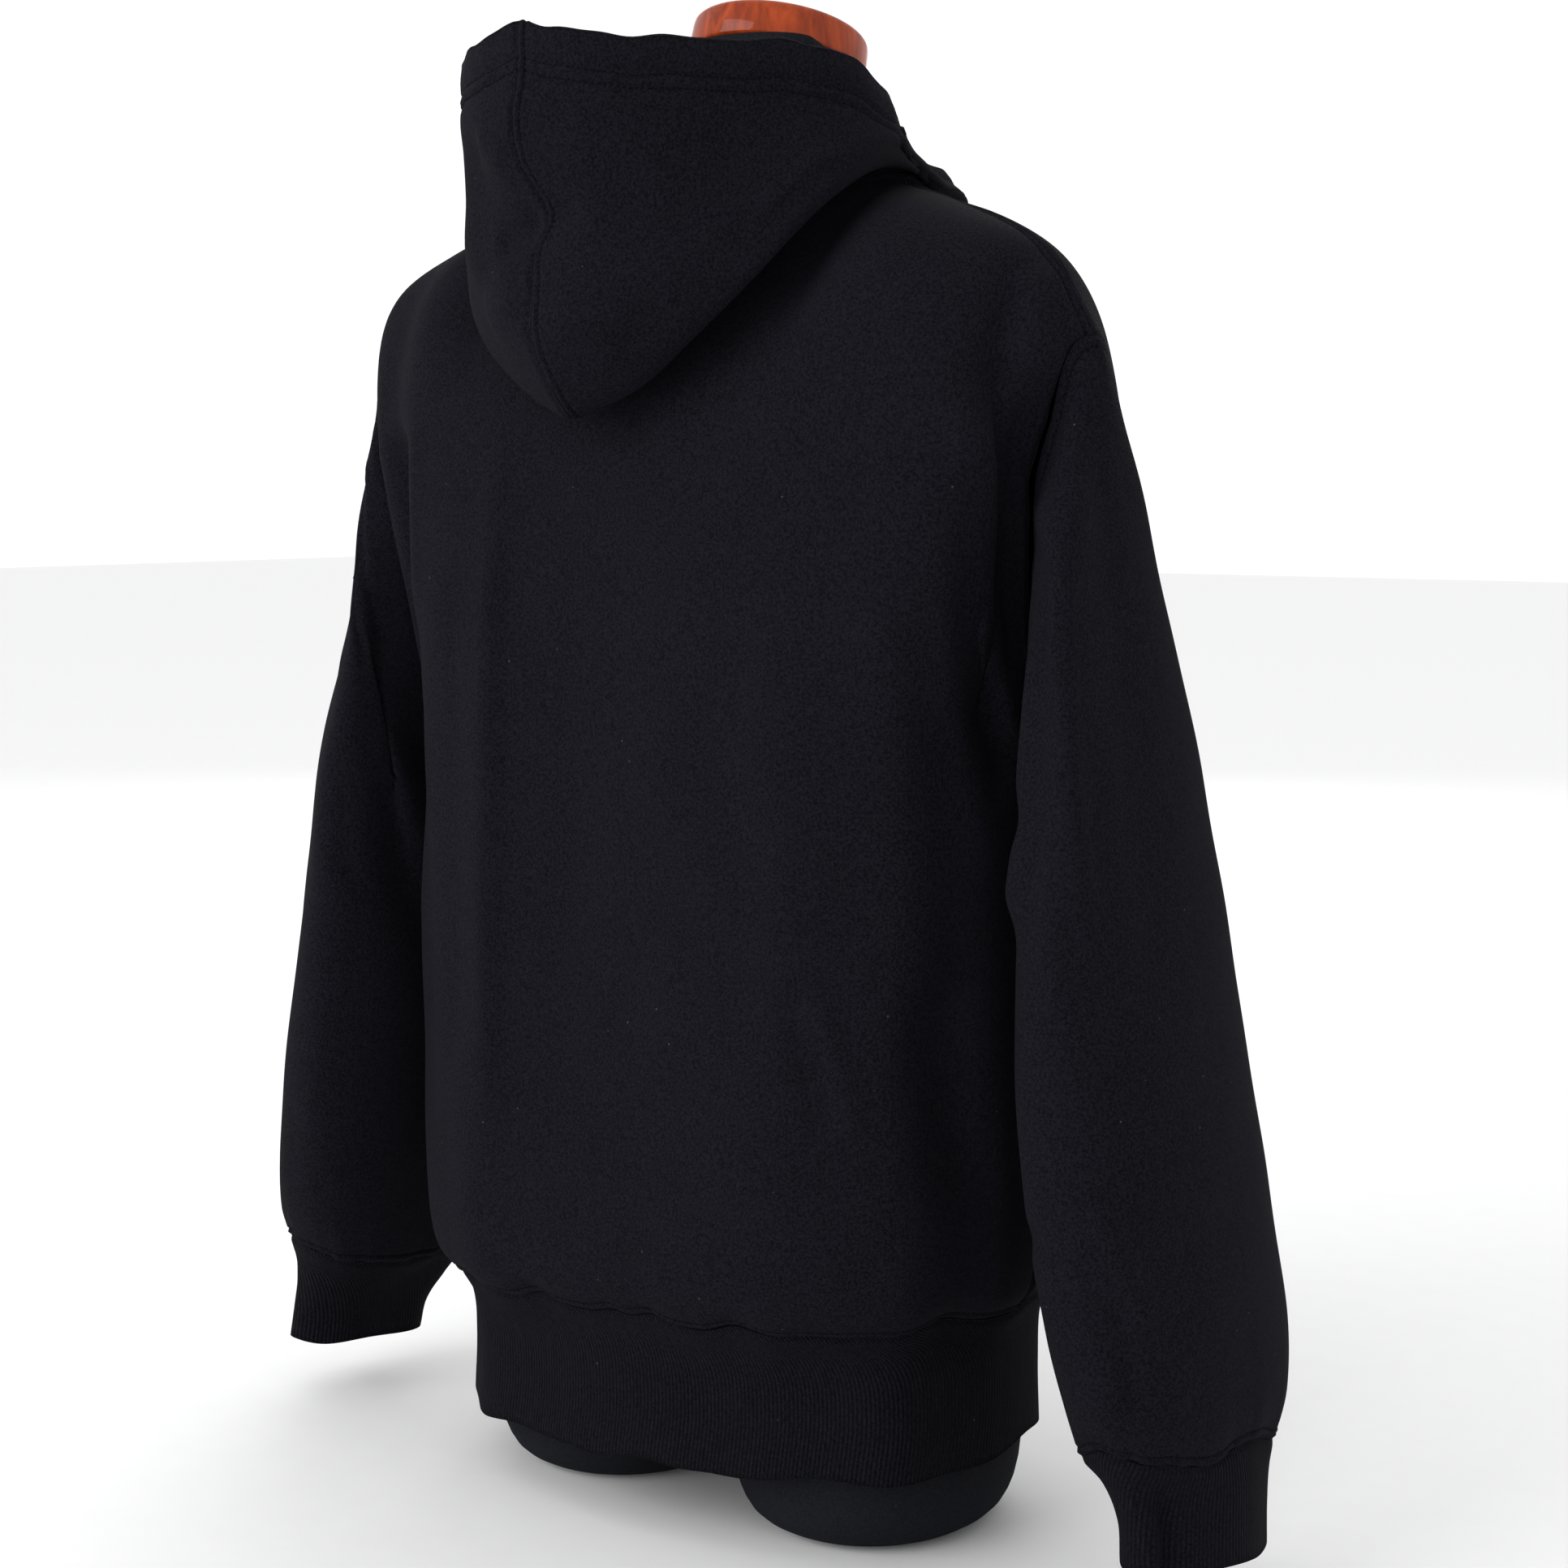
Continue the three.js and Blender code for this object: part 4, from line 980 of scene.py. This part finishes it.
def make_sleeve(side, creases):
    cloth = tube_cloth(partial(sleeve_point, side), 0.55)
    cloth.push(PROUD * smooth(cloth.from_v0 / 15))
    angle = cloth.u * AROUND
    rows = sleeve_rows(side)
    first = rows["at"][0]
    middle = read(rows, np.maximum(cloth.v, first))
    v = (middle["zIn"] + middle["zOut"]) / 2 + (first - np.minimum(cloth.v, first)) * 900
    cloth.crease(angle, v, creases, wrap=AROUND)
    soft(cloth, 1.3 if side == "left" else 4.4)
    cloth.points[..., 2] += cuff_seam_wave(side, angle) * bell(cloth.from_v1 / 26)
    if side == "right":
        drawn = tucked(cloth.points[..., 2], cloth.from_v0)
        cloth.points[..., 1] -= np.where(cloth.u < 0.5, drawn, 0)
    cloth.push(0 * angle)
    height = seam_dip(cloth.from_v0, 1.4, ARMHOLE_ROW) + pucker(cloth.from_v0, angle, 0.5, 12, 0.8)
    height += seam_dip(cloth.from_v1, 1.6, SEAM_ROW) + pucker(cloth.from_v1, angle, 1.0, 20, 1.2)
    cloth.push(height)
    return cloth


def make_cuff(side):
    cloth = tube_cloth(partial(cuff_point, side), 0, PLAIN)
    cloth.push(np.full(cloth.u.shape, PROUD))
    angle = cloth.u * AROUND
    cloth.points[..., 2] += cuff_seam_wave(side, angle) * bell(cloth.from_v0 / 26)
    cloth.points[..., 2] += wave(angle, (200, 1.0, 1.2), (80, 0.3, 0.8)) * smooth(cloth.from_v0 / 60)
    cloth.push(wave(angle, (133, 2.2, 1.6), (80, 0.7, 1.4)) * smooth(cloth.from_v0 / 25))
    dent = bell((np.mod(cloth.u - 0.18 + 0.5, 1) - 0.5) / 0.03) * smooth((cloth.from_v0 - 8) / 30)
    cloth.push(dent * (-8 if side == "right" else -5))
    cloth.push(seam_dip(cloth.from_v0, 1.5) + pucker(cloth.from_v0, angle, 0.4, 10, 0.5))
    return cloth


def make_hood(side, creases):
    columns = along_line(lambda at: hood_point(at, 0 * at + 0.6), 0, 1, end=PLAIN)
    levels = along_line(lambda along: hood_point(0 * along + 0.25, along), 0, 1, end=NEAR_RIM)
    cloth = Cloth(columns, levels, hood_point, False, -1)
    stray = read(SEAM_STRAY, cloth.v)["right"] * bell(cloth.from_u0 / 30)
    cloth.points[..., 0] += stray if side == "right" else -stray
    cloth.push(np.full(cloth.u.shape, PROUD))
    cloth.crease(cloth.u * AROUND, cloth.v * ALONG_HOOD, creases)
    soft(cloth, 0.2 if side == "left" else 3.3)
    collar = smooth((cloth.u - 0.58) / 0.1)
    calm = 1 - 0.8 * collar
    position = cloth.u * 900
    rim_wave = wave(position, (118, 0.5 if side == "left" else 2.5, 0.8), (67, 1.2, 0.4)) * calm
    cloth.points[..., 2] += rim_wave * bell(cloth.from_v1 / 30) * smooth(cloth.from_u0 / 20)
    cloth.points[..., 2] -= 8 * bell((cloth.u - 0.77) / 0.09) * bell(cloth.from_v1 / 50)
    cloth.push(collar * (4.5 * bell((cloth.from_v0 - 24) / 11) - 2.5 * bell(cloth.from_v0 / 9)))
    height = seam_dip(cloth.from_u0, 2.0, CENTRE_ROW if side == "right" else None, width=2.2)
    height += seam_dip(cloth.from_v0, 1.6, SEAM_ROW)
    band = cloth.from_v1
    height += 0.9 * smooth((RIM_HEM - band) / 3) + 0.7 * bell((band - 9) / 6)
    for row in RIM_ROWS:
        height -= mix(1.3, 0.4, smooth((cloth.u - 0.64) / 0.08)) * bell((band - row) / 1.5)
    height += pucker(np.abs(band - 22), position, 0.3, 12, 0.9) * calm
    cloth.push(height * smooth((cloth.from_u1 + 4) / 8))
    return cloth


back = make_panel("back", BACK_CREASES)
front = make_panel("front", FRONT_CREASES)
hem = make_hem()
sleeves = {
    "left": make_sleeve("left", LEFT_SLEEVE_CREASES),
    "right": make_sleeve("right", RIGHT_SLEEVE_CREASES),
}
hoods = {
    "left": make_hood("left", LEFT_HOOD_CREASES),
    "right": make_hood("right", RIGHT_HOOD_CREASES),
}
pieces = {
    "back": shell("back_cloth", back, FLEECE, fleece),
    "front": shell("front_cloth", front, FLEECE, fleece, uv_offset=1.3),
    "hem_rib": shell("hem_rib_cloth", hem, FLEECE, rib_knit),
}
sewn = {
    "back": [(back, "v0", SEAM_ROW), (back, "v1", SEAM_ROW)],
    "front": [(front, "v0", SEAM_ROW), (front, "v1", SEAM_ROW)],
}
# Sleeves, cuffs and hood halves are made on the left, and the right ones are mirrored.
for side, mirror in (("left", False), ("right", True)):
    sleeve, hood = sleeves[side], hoods[side]
    doubled = FLEECE + 1.2 * smooth((RIM_HEM - hood.from_v1) / 3)
    pieces["sleeve_" + side] = shell(
        f"sleeve_{side}_cloth", sleeve, FLEECE, fleece, mirror, 2.1 + mirror
    )
    pieces["cuff_" + side] = shell(f"cuff_{side}_cloth", make_cuff(side), FLEECE, rib_knit, mirror)
    pieces["hood_" + side] = shell(
        f"hood_{side}_cloth", hood, doubled, fleece, mirror, 4.4 + mirror
    )
    sewn["sleeve_" + side] = [(sleeve, "v0", ARMHOLE_ROW), (sleeve, "v1", SEAM_ROW)]
    sewn["hood_" + side] = [(hood, "v1", distance) for distance in RIM_ROWS] + [(hood, "v0", SEAM_ROW)]
sewn["hood_right"].append((hoods["right"], "u0", CENTRE_ROW))
threads = {key: stitches("stitches_" + key, rows, "right" in key) for key, rows in sewn.items()}

# -------------------- the dress form


def angles(sides):
    return np.arange(sides) * TURN / sides


def ring_points(x, back, front, square, z, centre=(0, 0), tilt=0.0):
    angle = angles(96)
    half = np.where(np.sin(angle) >= 0, back, -front)
    y = half * power(np.sin(angle), 2 / square)
    drop = (y - (back + front) / 2) * math.tan(tilt)
    return vector(centre[0] + x * power(np.cos(angle), 2 / square), centre[1] + y, z + drop)


def loft(name, rings, material):
    """A closed solid through rings, from its flat lower end to its flat upper one."""
    sides = len(rings[0])
    vertices = np.concatenate(rings)
    here = np.arange(len(vertices)).reshape(len(rings), sides)
    ahead = np.roll(here, -1, 1)
    quads = np.stack([here[:-1], ahead[:-1], ahead[1:], here[1:]], -1)
    faces = [*quads.reshape(-1, 4), here[0][::-1], here[-1]]
    uv = np.stack([np.tile(np.arange(sides) * 0.01, len(rings)), vertices[:, 2] * 0.001], -1)
    return new_object(name, vertices, faces, material, uv)


heights = np.linspace(TORSO["z"][0], TORSO["z"][-1], 150)
torso_rows = read(TORSO, heights, "z")
torso_rings = []
for i, z in enumerate(heights):
    tilt = NECK_TILT * smooth((z - NECK_TILT_FROM) / (TORSO["z"][-1] - NECK_TILT_FROM))
    row = [torso_rows[k][i] for k in ("x", "back", "front", "square")]
    torso_rings.append(ring_points(*row, z, tilt=float(tilt)))
torso = loft("form_torso_skin", torso_rings, jersey)
stubs = []
for side, sign in (("left", 1), ("right", -1)):
    rings = [
        ring_points(
            STUB["halfWidth"] * share,
            STUB["halfDepth"] * share,
            -STUB["halfDepth"] * share,
            STUB["square"],
            z,
            centre=(sign * STUB["x"], STUB["y"]),
        )
        for z, share in [*STUB_FOOT, (STUB["top"], 1)]
    ]
    stubs.append(loft(f"form_stub_{side}", rings, jersey))


def make_cap():
    """The turned cap, square on the slanting top of the neck."""
    radius, height, bevel = CAP["radius"], CAP["height"], CAP["bevel"]
    profile = [(0.01, 0), (radius - 3, 0), (radius - 1.2, 0.5), (radius - 0.3, 1.4), (radius, 3)]
    profile += [(radius, height - bevel - 2), (radius - 0.4, height - bevel)]
    for share in np.arange(1, 9) / 8:
        angle = share * TURN / 4
        out = radius - bevel + bevel * math.cos(angle) - 0.4 * (1 - share)
        profile.append((out, height - bevel + bevel * math.sin(angle)))
    profile += [(radius - 12, height + 0.35), (radius - 30, height + 0.6), (0.01, height + 0.7)]
    angle = angles(128)
    middle = (TORSO["back"][-1] + TORSO["front"][-1]) / 2
    axis = np.array([0, -math.sin(NECK_TILT), math.cos(NECK_TILT)])
    side = np.array([0, math.cos(NECK_TILT), math.sin(NECK_TILT)])
    base = np.array([0, middle, TORSO["z"][-1]]) + axis * SEAM_GAP
    rings = []
    for r, h in profile:
        ring = base + axis * h + np.outer(np.cos(angle), [r, 0, 0]) + np.outer(np.sin(angle), side * r)
        rings.append(ring)
    return loft("form_neck_cap_wood", rings, wood)


cap = make_cap()

# -------------------- what stands for what

for key, piece in pieces.items():
    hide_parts(key)
for piece in (torso, *stubs):
    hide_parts("form_torso")
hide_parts("form_neck_cap")

# -------------------- floor, light and camera


def make_floor():
    mesh = bpy.data.meshes.new("floor")
    corners = [(x * FLOOR_HALF, y * FLOOR_HALF, 0) for x, y in ((-1, -1), (1, -1), (1, 1), (-1, 1))]
    mesh.from_pydata(corners, [], [(0, 1, 2, 3)])
    mesh.materials.append(floor_material())
    floor = bpy.data.objects.new("floor", mesh)
    bpy.context.scene.collection.objects.link(floor)


def facing(way):
    """The rotation that makes a light or a camera look along way."""
    return Vector(way).to_track_quat("-Z", "Y").to_euler()


def make_light(name, energy, size, place):
    data = bpy.data.lights.new(name, "AREA")
    data.energy, data.size = energy, size
    light = bpy.data.objects.new(name, data)
    light.location = place
    light.rotation_euler = facing(np.array(AIM) - np.array(place))
    bpy.context.scene.collection.objects.link(light)


make_floor()
world = bpy.data.worlds.new("studio")
world.use_nodes = True
background = world.node_tree.nodes["Background"]
background.inputs["Color"].default_value = (1.0, 1.0, 1.0, 1)
background.inputs["Strength"].default_value = 1.08
bpy.context.scene.world = world
make_light("key", 77, 2.6, (1.25, 2.95, 1.5))
make_light("front", 22, 2.2, (1.8, -2.6, 1.8))

camera_data = bpy.data.cameras.new("camera")
camera_data.lens = 60.1
camera_data.sensor_width = 36
camera = bpy.data.objects.new("camera", camera_data)
camera.location = (-0.9069, 1.2078 + SHIFT_Y / 1000, 0.5915)
turn, pitch = math.radians(36.0), math.radians(6.6)
way = (math.sin(turn) * math.cos(pitch), -math.cos(turn) * math.cos(pitch), -math.sin(pitch))
camera.rotation_euler = facing(way)
bpy.context.scene.collection.objects.link(camera)
bpy.context.scene.camera = camera
bpy.context.scene.view_settings.view_transform = "Standard"
bpy.context.scene.view_settings.look = "None"
